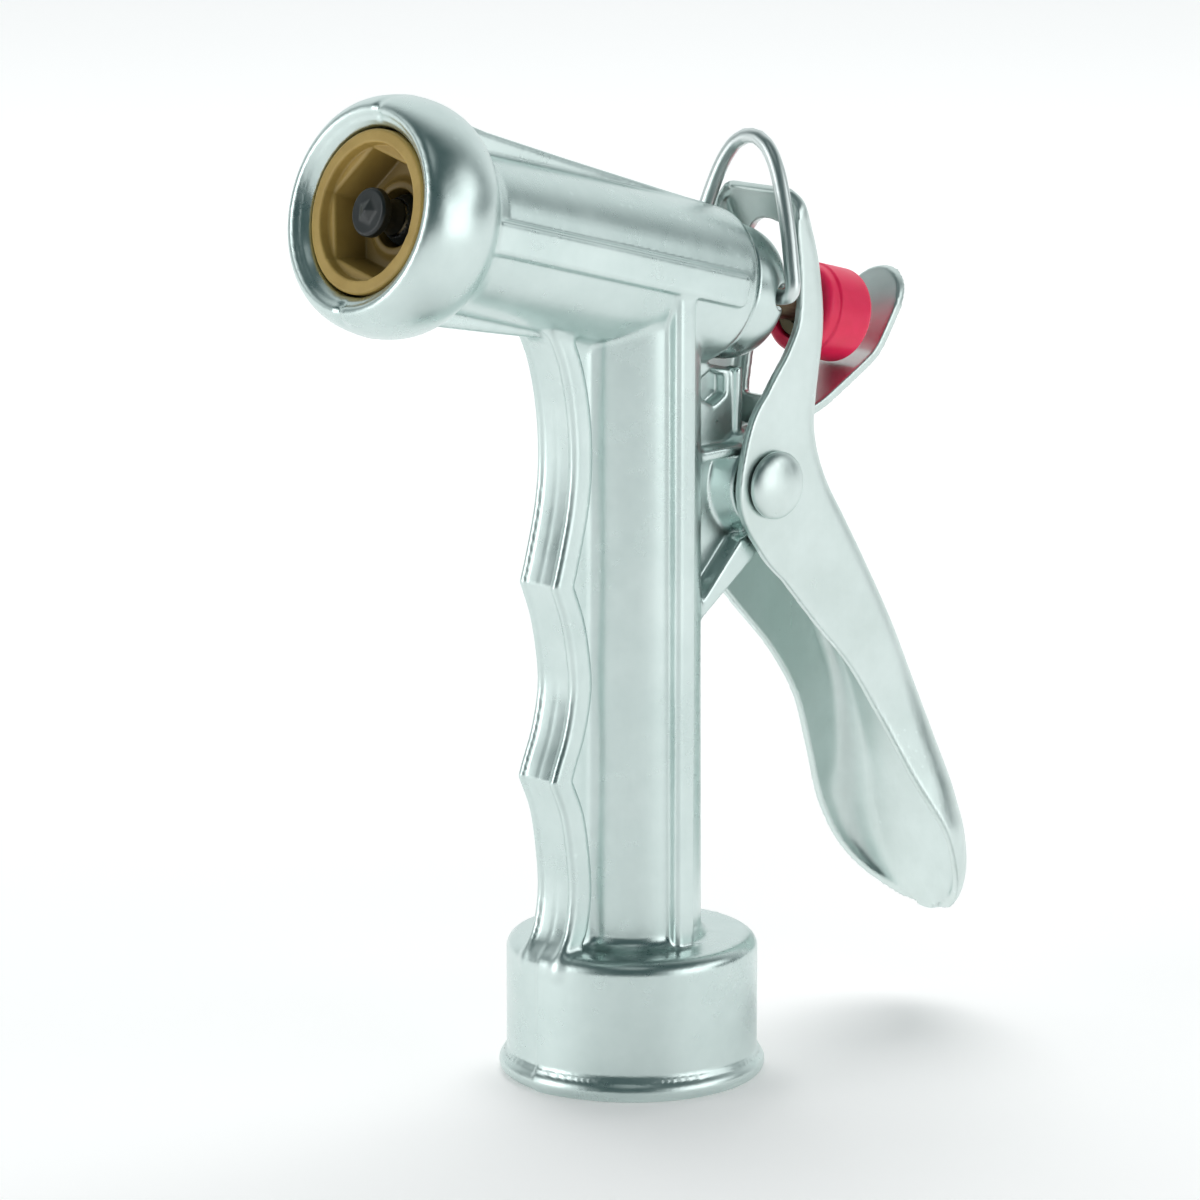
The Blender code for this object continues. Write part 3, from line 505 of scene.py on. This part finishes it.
def make_tip(finish):
    obj = mesh_of("valve_tip_moulding", tip_distance, (-6.2, -6.2, 34.9), (6.2, 6.2, 45.3), 0.16,
                  world_from_barrel())
    return finished(obj, "stem", "black_plastic", finish, "valve_tip")


def nut_distance(points):
    """Packing nut: a domed cap with a hollow neck, and a blind hole on each side for the clip."""
    x, h, s = points.T
    radius = np.hypot(x, h)
    dome = through([(8.8, -14.2), (8.8, -16.8), (8.4, -18.7), (7.7, -19.8), (6.7, -20.3)], 6)
    profile = ([(2.3, -12.4), (5.2, -12.4), (5.2, -7.4), (7.3, -7.4), (7.7, -7.8), (7.7, -13.8),
                (8.5, -13.8)] + dome + [(2.3, -20.3)])
    solid = outline_distance(radius, s, profile)
    y = -s * RISE_COS + h * RISE_SIN
    z = BARREL_Z + s * RISE_SIN + h * RISE_COS
    hole = np.maximum(np.hypot(y - CLIP_PIVOT.y, z - CLIP_PIVOT.z) - 1.65, 4.6 - np.abs(x))
    return carved(solid, hole, soft=0.3)


def make_nut(finish):
    obj = mesh_of("packing_nut_turned", nut_distance, (-8.8, -8.8, -20.3), (8.8, 8.8, -7.4), 0.2,
                  world_from_barrel())
    return finished(obj, "nozzle_body", "cast_zinc", finish, "packing_nut")


def knob_distance(points):
    """Knob: a cup open to the front, with a step round it, a nick in its edge and a dished back."""
    x, h, s = points.T
    radius = np.hypot(x, h)
    profile = ([(4.3, -29.7), (5.0, -29.7)] + arc((5.05, -30.6), 0.9, 78, 0, 8)
               + [(5.95, -31.6), (6.2, -31.85)] + arc((5.2, -36.8), 1.0, 0, -90, 10)
               + [(0, -37.8), (0, -36.7), (4.3, -36.7)])
    solid = outline_distance(radius, s, profile)
    nick = np.sqrt(x ** 2 + (h - 6.35) ** 2 + (s + 31.0) ** 2) - 0.6
    dish = np.sqrt(x ** 2 + h ** 2 + (s + 52.6) ** 2) - 15.1
    return carved(solid, nick, dish, soft=0.25)


def make_knob(finish):
    obj = mesh_of("knob_moulding", knob_distance, (-6.2, -6.2, -37.8), (6.2, 6.2, -29.7), 0.17,
                  world_from_barrel())
    return finished(obj, "knob", "red_plastic", finish, "adjusting_knob")


def settled(obj):
    """Applies the object's modifiers and its place to its mesh."""
    bpy.context.view_layer.update()
    graph = bpy.context.evaluated_depsgraph_get()
    mesh = bpy.data.meshes.new_from_object(obj.evaluated_get(graph))
    matrix = obj.matrix_world.copy()
    old_name = obj.name
    bpy.data.objects.remove(obj, do_unlink=True)
    mesh.transform(matrix)
    fresh = bpy.data.objects.new(old_name, mesh)
    bpy.context.scene.collection.objects.link(fresh)
    return fresh


# ---------------------------------------------------------------- rivet, clip and lever

RIVET_RADIUS = 2.4
RIVET_HEAD_RADIUS = 4.4
RIVET_HEAD_FACE = 8.55
RIVET_HEAD_HEIGHT = 1.9
CLIP_LEAN = math.radians(6.3)
CLIP_WIRE_RADIUS = 1.0
SHEET = 1.25
TAB_HALF_WIDTH = 5.1
WINDOW_HALF_WIDTH = 5.3

def make_rivet(finish):
    """A shank through lug and lever with a domed head on each end."""
    dome = [(RIVET_HEAD_RADIUS * math.sin(a),
             RIVET_HEAD_FACE + 0.35 + (RIVET_HEAD_HEIGHT - 0.35) * math.cos(a))
            for a in np.radians(np.linspace(2, 84, 16))]
    rim = arc((RIVET_HEAD_RADIUS - 0.25, RIVET_HEAD_FACE + 0.25), 0.25, 20, -90, 6)
    upper = dome + rim + [(RIVET_RADIUS, RIVET_HEAD_FACE)]
    profile = [(0, upper[0][1])] + upper + [(r, -x) for r, x in reversed(upper)] + [(0, -upper[0][1])]
    place = world_from_mm() @ Matrix.Translation(PIVOT) @ Matrix.Rotation(math.radians(90), 4, "Y")
    return finished(turned("rivet_headed", profile, place), "nozzle_body", "plated_sheet", finish,
                    "pivot_rivet")


def turned(name, profile, matrix, steps=96):
    """Turns a profile of (radius, height) points, which starts and ends on the axis, about Z."""
    work = bmesh.new()
    rings = []
    for r, z in profile:
        if r < 1e-6:
            rings.append([work.verts.new((0, 0, z))])
        else:
            rings.append([work.verts.new((r * math.cos(a), r * math.sin(a), z))
                          for a in np.linspace(0, math.tau, steps, endpoint=False)])
    for upper, lower in zip(rings, rings[1:]):
        for i in range(steps):
            j = (i + 1) % steps
            corners = [upper[i % len(upper)], lower[i % len(lower)],
                       lower[j % len(lower)], upper[j % len(upper)]]
            unique = list(dict.fromkeys(corners))
            if len(unique) > 2:
                work.faces.new(unique)
    bmesh.ops.recalc_face_normals(work, faces=work.faces)
    mesh = bpy.data.meshes.new(name)
    work.to_mesh(mesh)
    work.free()
    mesh.transform(matrix)
    mesh.shade_smooth()
    mesh.set_sharp_from_angle(angle=math.radians(40))
    obj = bpy.data.objects.new(name, mesh)
    bpy.context.scene.collection.objects.link(obj)
    return obj


def make_clip(finish):
    """A bent wire whose two feet turn inwards into the packing nut."""
    half = through([(5.6, 0), (8.0, 0), (9.4, 0.4), (9.85, 1.5), (9.5, 3.3), (8.15, 8.3), (6.5, 13.0),
                    (4.9, 16.4), (3.1, 18.7), (1.2, 19.8)], 5)
    points = half + [(0, 19.95)] + [(-x, z) for x, z in reversed(half)]
    curve = bpy.data.curves.new("clip_wire", "CURVE")
    curve.dimensions = "3D"
    curve.bevel_depth = CLIP_WIRE_RADIUS
    curve.bevel_resolution = 6
    curve.use_fill_caps = True
    spline = curve.splines.new("POLY")
    spline.points.add(len(points) - 1)
    for point, (x, z) in zip(spline.points, points):
        point.co = (x, 0, z, 1)
    obj = bpy.data.objects.new("clip_wire", curve)
    bpy.context.scene.collection.objects.link(obj)
    obj.matrix_world = (world_from_mm() @ Matrix.Translation(CLIP_PIVOT)
                        @ Matrix.Rotation(-CLIP_LEAN, 4, "X"))
    obj = settled(obj)
    obj.data.shade_smooth()
    obj.data.set_sharp_from_angle(angle=math.radians(50))
    return finished(obj, "clip", "spring_steel", finish, "hold_open_clip")


def lever_stations():
    """Stations down the lever: back face (y, z), depth to the free edges, half width, corner round."""
    return [
        (22.2, 113.6, 1.3, 6.0, 0.9), (23.3, 111.9, 2.4, 7.9, 1.6), (24.6, 108.7, 3.7, 8.25, 2.2),
        (25.9, 104.2, 4.4, 8.25, 2.2), (26.7, 99.0, 5.1, 8.25, 2.2), (26.8, 95.1, 5.8, 8.25, 2.2),
        (26.3, 91.0, 7.3, 8.25, 2.2), (25.6, 86.6, 9.8, 8.25, 2.2), (25.3, 82.6, 12.9, 8.25, 2.2),
        (26.1, 78.8, 15.6, 8.25, 2.2), (28.0, 74.7, 15.0, 8.25, 2.4), (30.8, 70.4, 13.8, 8.25, 2.6),
        (34.9, 63.9, 12.5, 8.25, 2.8), (40.1, 55.2, 10.3, 8.25, 3.2), (44.5, 46.5, 9.0, 8.5, 3.8),
        (48.0, 37.8, 8.2, 10.2, 5.0), (50.1, 32.0, 7.4, 11.7, 6.0), (51.4, 26.8, 6.2, 12.6, 6.6),
        (52.6, 21.4, 5.0, 11.7, 6.2), (53.6, 17.0, 3.4, 9.2, 5.4), (54.4, 13.6, 1.5, 5.4, 3.8),
        (54.8, 12.2, 0.4, 2.2, 1.6),
    ]


def lever_section(depth, half, corner, columns):
    """Half of the channel's section from the middle of its back to its free edge: (across, depth)."""
    bend = min(corner, half * 0.9)
    drop = min(corner, depth * 0.95)
    flat, round_, wall = columns
    points = [((half - bend) * i / flat, 0.0) for i in range(flat)]
    for i in range(round_ + 1):
        angle = math.pi / 2 * i / round_
        points.append((half - bend + bend * math.sin(angle), drop * (1 - math.cos(angle))))
    return points + [(half, drop + (depth - drop) * i / wall) for i in range(1, wall + 1)]


def lever_shell(rows_per_station=6, columns=(5, 10, 6)):
    rows = np.array(through(lever_stations(), rows_per_station))
    along = np.gradient(rows[:, :2], axis=0)
    along /= np.linalg.norm(along, axis=1)[:, None]
    inward = np.stack([along[:, 1], -along[:, 0]], axis=1)
    vertices = []
    for (y, z, depth, half, corner), (ny, nz) in zip(rows, inward):
        right = lever_section(depth, half, corner, columns)
        section = [(-x, d) for x, d in reversed(right[1:])] + right
        vertices += [(x, y + d * ny, z + d * nz) for x, d in section]
    width = 2 * sum(columns) + 1
    faces = [(i * width + j, i * width + j + 1, (i + 1) * width + j + 1, (i + 1) * width + j)
             for i in range(len(rows) - 1) for j in range(width - 1)]
    mesh = bpy.data.meshes.new("lever_sheet")
    mesh.from_pydata(vertices, [], faces)
    shell = bpy.data.objects.new("lever_sheet", mesh)
    bpy.context.scene.collection.objects.link(shell)
    sheet = shell.modifiers.new("sheet", "SOLIDIFY")
    sheet.thickness = SHEET
    sheet.offset = -1
    sheet.use_even_offset = True
    return settled(shell)


def slab(name, outline, half, axis, at):
    """An outline extruded both ways: axis X takes (y, z) points, axis Y takes (x, z) points."""
    work = bmesh.new()
    rings = []
    for side in (-half, half):
        if axis == "X":
            rings.append([work.verts.new((at + side, a, b)) for a, b in outline])
        else:
            rings.append([work.verts.new((a, at + side, b)) for a, b in outline])
    work.faces.new(rings[0])
    work.faces.new(rings[1])
    for i in range(len(outline)):
        j = (i + 1) % len(outline)
        work.faces.new((rings[0][i], rings[0][j], rings[1][j], rings[1][i]))
    bmesh.ops.recalc_face_normals(work, faces=work.faces)
    mesh = bpy.data.meshes.new(name)
    work.to_mesh(mesh)
    work.free()
    obj = bpy.data.objects.new(name, mesh)
    bpy.context.scene.collection.objects.link(obj)
    return obj


def boolean(obj, other, operation):
    modifier = obj.modifiers.new(other.name, "BOOLEAN")
    modifier.operation = operation
    modifier.solver = "EXACT"
    modifier.object = other
    obj = settled(obj)
    bpy.data.objects.remove(other, do_unlink=True)
    return obj


def offset_path(points, distance):
    path = np.array(points)
    along = np.gradient(path, axis=0)
    along /= np.linalg.norm(along, axis=1)[:, None]
    side = np.stack([-along[:, 1], along[:, 0]], axis=1)
    return [tuple(p) for p in path + side * distance]


def lever_tab():
    """Tab folded back from the window's lower edge, with a rounded upright end."""
    centre_line = through([(24.9, 83.4), (28.6, 84.6), (33.0, 87.0), (37.2, 89.5), (38.6, 90.6),
                           (39.9, 92.3), (42.6, 96.6), (44.6, 100.2), (45.2, 101.4)], 4)
    outline = offset_path(centre_line, -SHEET / 2) + offset_path(centre_line, SHEET / 2)[::-1]
    tab = slab("tab", outline, TAB_HALF_WIDTH, "X", 0)
    ends = ([(-TAB_HALF_WIDTH, 70), (TAB_HALF_WIDTH, 70)]
            + arc((0, 95.6), TAB_HALF_WIDTH, 0, 180, 40))
    return boolean(tab, slab("tab_ends", ends, 15, "Y", 35), "INTERSECT")


def make_lever(finish):
    """The bent channel with its window and rivet holes, joined to the tab and rounded at its edges."""
    lever = lever_shell()
    window = ([(-WINDOW_HALF_WIDTH, 85.4), (WINDOW_HALF_WIDTH, 85.4)]
              + arc((0, 103.6), WINDOW_HALF_WIDTH, 0, 180, 40))
    lever = boolean(lever, slab("window", window, 6, "Y", 27), "DIFFERENCE")
    holes = slab("holes", arc((PIVOT.y, PIVOT.z), PIVOT_BORE_RADIUS, 0, 354, 60), 14, "X", 0)
    lever = boolean(lever, holes, "DIFFERENCE")
    lever = boolean(lever, lever_tab(), "UNION")
    remesh = lever.modifiers.new("even", "REMESH")
    remesh.mode = "VOXEL"
    remesh.voxel_size = 0.24
    smooth = lever.modifiers.new("ease", "SMOOTH")
    smooth.factor = 0.5
    smooth.iterations = 5
    lever = settled(lever)
    lever.data.transform(world_from_mm())
    lever.data.shade_smooth()
    lever.name = "lever_pressed"
    return finished(lever, "lever", "plated_sheet", finish, "trigger_lever")


# ---------------------------------------------------------------- materials

class Nodes:
    """Small helper that wires shader nodes by name."""

    def __init__(self, name):
        self.material = bpy.data.materials.new(name)
        self.material.use_nodes = True
        self.tree = self.material.node_tree
        self.shader = self.tree.nodes["Principled BSDF"]
        self.place = self.add("ShaderNodeTexCoord").outputs["Object"]

    def add(self, kind, inputs=None, **settings):
        node = self.tree.nodes.new(kind)
        for key, value in settings.items():
            setattr(node, key, value)
        for key, value in (inputs or {}).items():
            if isinstance(value, bpy.types.NodeSocket):
                self.tree.links.new(value, node.inputs[key])
            else:
                node.inputs[key].default_value = value
        return node

    def noise(self, scale, detail=3.0, roughness=0.55, place=None):
        """Noise whose scale is in features per metre, from 0 to 1."""
        node = self.add("ShaderNodeTexNoise", {"Vector": place or self.place, "Scale": scale,
                                               "Detail": detail, "Roughness": roughness})
        return node.outputs["Fac"]

    def stretched(self, scale):
        return self.add("ShaderNodeVectorMath", {0: self.place, 1: scale}, operation="MULTIPLY").outputs[0]

    def depth(self):
        """How far back along the barrel a point lies, in metres."""
        node = self.add("ShaderNodeVectorMath", {0: self.place, 1: tuple(BACK)}, operation="DOT_PRODUCT")
        return node.outputs["Value"]

    def ramp(self, value, low, high, to_low=0.0, to_high=1.0):
        return self.add("ShaderNodeMapRange", {"Value": value, "From Min": low, "From Max": high,
                                               "To Min": to_low, "To Max": to_high}).outputs[0]

    def math(self, operation, a, b=0.0):
        return self.add("ShaderNodeMath", {0: a, 1: b}, operation=operation).outputs[0]

    def mix(self, share, a, b):
        node = self.add("ShaderNodeMix", data_type="RGBA")
        for index, value in ((0, share), (6, a), (7, b)):
            if isinstance(value, bpy.types.NodeSocket):
                self.tree.links.new(value, node.inputs[index])
            else:
                node.inputs[index].default_value = value if index == 0 else (*value, 1.0)
        return node.outputs[2]

    def edges(self, low=0.56, high=0.72):
        """Worn outer edges, from 0 to 1."""
        pointed = self.add("ShaderNodeNewGeometry").outputs["Pointiness"]
        return self.ramp(pointed, low, high)

    def painted_hollow_shade(self, low=0.38, high=0.47):
        """Painted shade for inner corners, from 1 in the deepest to 0."""
        pointed = self.add("ShaderNodeNewGeometry").outputs["Pointiness"]
        return self.ramp(pointed, low, high, 1.0, 0.0)

    def set(self, **inputs):
        names = {"color": "Base Color", "roughness": "Roughness", "metallic": "Metallic",
                 "normal": "Normal", "subsurface": "Subsurface Weight",
                 "subsurface_scale": "Subsurface Scale", "glow": "Emission Strength",
                 "glow_color": "Emission Color"}
        for key, value in inputs.items():
            socket = self.shader.inputs[names[key]]
            if isinstance(value, bpy.types.NodeSocket):
                self.tree.links.new(value, socket)
            else:
                socket.default_value = value
        return self.material

    def bump(self, height, distance, strength=1.0, normal=None):
        inputs = {"Height": height, "Distance": distance, "Strength": strength}
        if normal is not None:
            inputs["Normal"] = normal
        return self.add("ShaderNodeBump", inputs).outputs[0]


def satin_metal(name, light, shade, rough, grain=1.0, streaks=0.0):
    """Cast or plated metal with a satin skin: cloudy tone, fine grain, brighter worn edges and painted shade
    in inner corners.
    """
    n = Nodes(name)
    clouds = n.noise(90, 4, 0.6)
    fine = n.noise(5200, 2, 0.5)
    wide = n.noise(420, 3, 0.6)
    tone = n.mix(n.ramp(clouds, 0.35, 0.68), shade, light)
    brighter = tuple(min(1.0, c * 1.08) for c in light)
    tone = n.mix(n.edges(), tone, brighter)
    # painted shade: inner corners are darkened to stand in for the shade that falls in them
    tone = n.mix(n.painted_hollow_shade(), tone, tuple(c * 0.55 for c in shade))
    roughness = n.math("ADD", n.ramp(clouds, 0.3, 0.7, rough - 0.03, rough + 0.05),
                       n.ramp(wide, 0.3, 0.7, -0.03, 0.03))
    normal = n.bump(fine, 0.00001 * grain, 0.35)
    normal = n.bump(wide, 0.00006 * grain, 0.25, normal)
    if streaks:
        lines = n.noise(1, 3, 0.6, n.stretched((2600, 2600, 110)))
        roughness = n.math("ADD", roughness, n.ramp(lines, 0.35, 0.7, -0.04 * streaks, 0.10 * streaks))
        normal = n.bump(lines, 0.00002 * streaks, 0.5, normal)
    return n.set(color=tone, roughness=roughness, metallic=1.0, normal=normal)


def plastic(name, color, dark, rough, grain=0.00001, subsurface=0.0, painted_shade_depths=None):
    """Moulded plastic. The given depths along the barrel, in metres, are where painted shade deep in the
    mouth starts and ends.
    """
    n = Nodes(name)
    clouds = n.noise(260, 3, 0.6)
    fine = n.noise(6500, 2, 0.5)
    tone = n.mix(n.ramp(clouds, 0.3, 0.7), dark, color)
    tone = n.mix(n.ramp(fine, 0.55, 0.75, 0, 0.18), tone, tuple(min(1, c * 1.25 + 0.02) for c in color))
    if painted_shade_depths:
        # painted shade: darker the farther back along the barrel, standing in for the shade deep in the
        # mouth
        tone = n.mix(n.ramp(n.depth(), *painted_shade_depths, 0, 0.85), tone, tuple(c * 0.35 for c in dark))
    roughness = n.ramp(clouds, 0.3, 0.7, rough - 0.05, rough + 0.06)
    n.set(color=tone, roughness=roughness, normal=n.bump(fine, grain, 0.5))
    if subsurface:
        n.set(subsurface=subsurface, subsurface_scale=0.0015)
    return n.material


def rubber(name):
    """Dull black rubber with a fine tooth."""
    n = Nodes(name)
    fine = n.noise(2600, 4, 0.6)
    tone = n.mix(n.ramp(n.noise(300, 3), 0.3, 0.7), (0.018, 0.018, 0.018), (0.045, 0.044, 0.042))
    return n.set(color=tone, roughness=n.ramp(fine, 0.3, 0.7, 0.62, 0.85), normal=n.bump(fine, 0.00004, 0.6))


def turned_metal(name, light, shade, rough):
    """Metal turned on a lathe: fine rings across the barrel's axis."""
    n = Nodes(name)
    place = n.add("ShaderNodeCombineXYZ", {"X": n.depth(), "Y": 0.0, "Z": 0.0}).outputs[0]
    rings = n.noise(9000, 2, 0.6, place)
    tone = n.mix(n.ramp(n.noise(200, 3), 0.3, 0.7), shade, light)
    roughness = n.ramp(rings, 0.3, 0.7, rough - 0.06, rough + 0.08)
    return n.set(color=tone, roughness=roughness, metallic=1.0, normal=n.bump(rings, 0.000008, 0.6))


# ---------------------------------------------------------------- stage

def make_floor():
    """A pale floor with a weak glow that grows with distance, so that the backdrop is white."""
    bpy.ops.mesh.primitive_plane_add(size=24)
    floor = bpy.context.active_object
    floor.name = "floor"
    n = Nodes("pale_floor")
    far = n.ramp(n.add("ShaderNodeVectorMath", {0: n.place}, operation="LENGTH").outputs["Value"], 0.1, 3.0)
    glow = n.math("ADD", 0.22, n.math("MULTIPLY", far, 0.42))
    floor.data.materials.append(n.set(color=(0.93, 0.915, 0.912, 1.0), roughness=0.85, glow=glow,
                                      glow_color=(1.0, 0.985, 0.99, 1.0)))


def area_light(name, place, size, power, reflected=False):
    """A softbox aimed at the nozzle's middle, hidden from the camera."""
    data = bpy.data.lights.new(name, "AREA")
    data.shape = "RECTANGLE"
    data.size, data.size_y = size
    data.energy = power
    light = bpy.data.objects.new(name, data)
    bpy.context.scene.collection.objects.link(light)
    light.location = place
    light.visible_camera = False
    light.visible_glossy = reflected
    light.rotation_euler = (LIGHT_AIM - place).to_track_quat("-Z", "Y").to_euler()


# Soft panels of the studio: azimuth and elevation of the middle, half angles of the full and the
# faded part, strength. Azimuth 0 is in front of the nozzle and 90 on its left; all in degrees.
PANELS = [
    (-22, 14, 12, 36, 0.85),  # tall window on the nozzle's right front
    (104, 10, 10, 32, 0.70),  # and one on its left
    (134, 24, 4, 18, 1.40),  # a small one farther back on that side
    (228, 12, 35, 80, 0.85),  # white wall behind
    (48, 64, 3, 14, 0.55),  # strip over the camera
]
STUDIO_SHADE = (0.05, 0.09, 0.092)
LIGHT_AIM = Vector((0, 0, 0.07))


def direction(azimuth, elevation):
    """The unit vector that points from the nozzle that way."""
    a, e = math.radians(azimuth), math.radians(elevation)
    return Vector((math.sin(a) * math.cos(e), -math.cos(a) * math.cos(e), math.sin(e)))


def make_world():
    """A dim studio with soft white panels, so that the metal has something to reflect."""
    world = bpy.data.worlds.new("studio")
    bpy.context.scene.world = world
    world.use_nodes = True
    tree = world.node_tree
    place = tree.nodes.new("ShaderNodeTexCoord").outputs["Generated"]
    total = None
    for azimuth, elevation, full, faded, strength in PANELS:
        facing = tree.nodes.new("ShaderNodeVectorMath")
        facing.operation = "DOT_PRODUCT"
        tree.links.new(place, facing.inputs[0])
        facing.inputs[1].default_value = direction(azimuth, elevation)
        glow = tree.nodes.new("ShaderNodeMapRange")
        glow.interpolation_type = "SMOOTHSTEP"
        tree.links.new(facing.outputs["Value"], glow.inputs["Value"])
        glow.inputs["From Min"].default_value = math.cos(math.radians(faded))
        glow.inputs["From Max"].default_value = math.cos(math.radians(full))
        glow.inputs["To Max"].default_value = strength
        if total is None:
            total = glow.outputs[0]
        else:
            add = tree.nodes.new("ShaderNodeMath")
            tree.links.new(total, add.inputs[0])
            tree.links.new(glow.outputs[0], add.inputs[1])
            total = add.outputs[0]
    shade = tree.nodes.new("ShaderNodeVectorMath")
    shade.operation = "ADD"
    shade.inputs[0].default_value = STUDIO_SHADE
    tree.links.new(total, shade.inputs[1])
    tree.links.new(shade.outputs[0], tree.nodes["Background"].inputs["Color"])


def make_lights():
    """Two softboxes low on the sides, one large one over the back and a strip in front."""
    make_world()
    area_light("left_box", direction(106, 12) * 0.7, (0.46, 0.44), 0.62, reflected=True)
    area_light("right_box", direction(-22, 12) * 0.7, (0.26, 0.44), 0.72, reflected=True)
    area_light("back_box", direction(225, 62) * 1.3, (1.0, 0.7), 7.5)
    area_light("front_strip", direction(48, 50) * 1.0, (0.5, 0.06), 0.35)


CAMERA_DISTANCE = 0.707


def make_camera():
    """The photograph's view: from the nozzle's left front, a little above."""
    aim = HANDLE + Vector((0, -5, 75)) * MM
    towards = direction(48.30, 10.65)
    data = bpy.data.cameras.new("camera")
    data.sensor_width = 36
    data.lens = 167.43
    data.shift_x = -0.00256
    data.shift_y = -0.08027
    data.clip_start = 0.01
    camera = bpy.data.objects.new("camera", data)
    bpy.context.scene.collection.objects.link(camera)
    camera.location = aim + towards * CAMERA_DISTANCE
    camera.rotation_euler = (-towards).to_track_quat("-Z", "Y").to_euler()
    bpy.context.scene.camera = camera


# ---------------------------------------------------------------- everything

def dress_cad_nodes(finishes):
    """Procedural finishes for the CAD nodes that keep their own shape."""
    # washer backing, knob bushing and valve stem get a very dark brass: painted shade for the dark mouth
    # they sit in
    wanted = {"insert_seal": "rubber", "gland_seal": "rubber", "stem_packing": "rubber",
              "seat_washer": "rubber", "hose_washer": "rubber", "washer_backing": "shade_dark_brass",
              "packing_follower": "brass", "knob_bushing": "shade_dark_brass", "valve_stem": "shade_dark_brass",
              "stem_clip": "steel", "spring_front_washer": "steel", "spring_rear_washer": "steel",
              "return_spring": "steel"}
    for node, finish in wanted.items():
        obj = frame["nodes"][node]
        obj.data.materials.clear()
        obj.data.materials.append(finishes[finish])


def main():
    zinc = satin_metal("cast_zinc_skin", (0.70, 0.80, 0.78), (0.61, 0.715, 0.695), 0.29)
    plated = satin_metal("plated_sheet_skin", (0.74, 0.83, 0.81), (0.65, 0.74, 0.715), 0.34, 0.7,
                         streaks=0.7)
    wire = turned_metal("spring_wire_skin", (0.78, 0.84, 0.83), (0.68, 0.74, 0.73), 0.33)
    # the insert's pocket gets painted shade that deepens back from the mouth
    mouth = BARREL.dot(BACK) - INSERT_FRONT * MM
    tan = plastic("tan_moulding", (0.52, 0.35, 0.095), (0.43, 0.28, 0.065), 0.42,
                  painted_shade_depths=(mouth + 0.3 * MM, mouth + 5.0 * MM))
    black = plastic("black_moulding", (0.012, 0.017, 0.018), (0.006, 0.009, 0.010), 0.34)
    red = plastic("red_moulding", (0.94, 0.016, 0.105), (0.86, 0.010, 0.078), 0.38, subsurface=0.10)
    finishes = {"rubber": rubber("washer_rubber"), "steel": wire,
                # very dark brass: painted shade standing in for the shade inside the mouth
                "shade_dark_brass": turned_metal("brass_darkened_as_shade", (0.20, 0.165, 0.10), (0.12, 0.10, 0.07), 0.36),
                "brass": turned_metal("turned_brass", (0.80, 0.60, 0.28), (0.68, 0.48, 0.2), 0.27)}
    make_body(zinc)
    make_insert(tan)
    make_tip(black)
    make_nut(zinc)
    make_knob(red)
    make_rivet(plated)
    make_clip(wire)
    make_lever(plated)
    dress_cad_nodes(finishes)
    make_floor()
    make_lights()
    make_camera()
    bpy.context.scene.view_settings.view_transform = "Standard"


main()
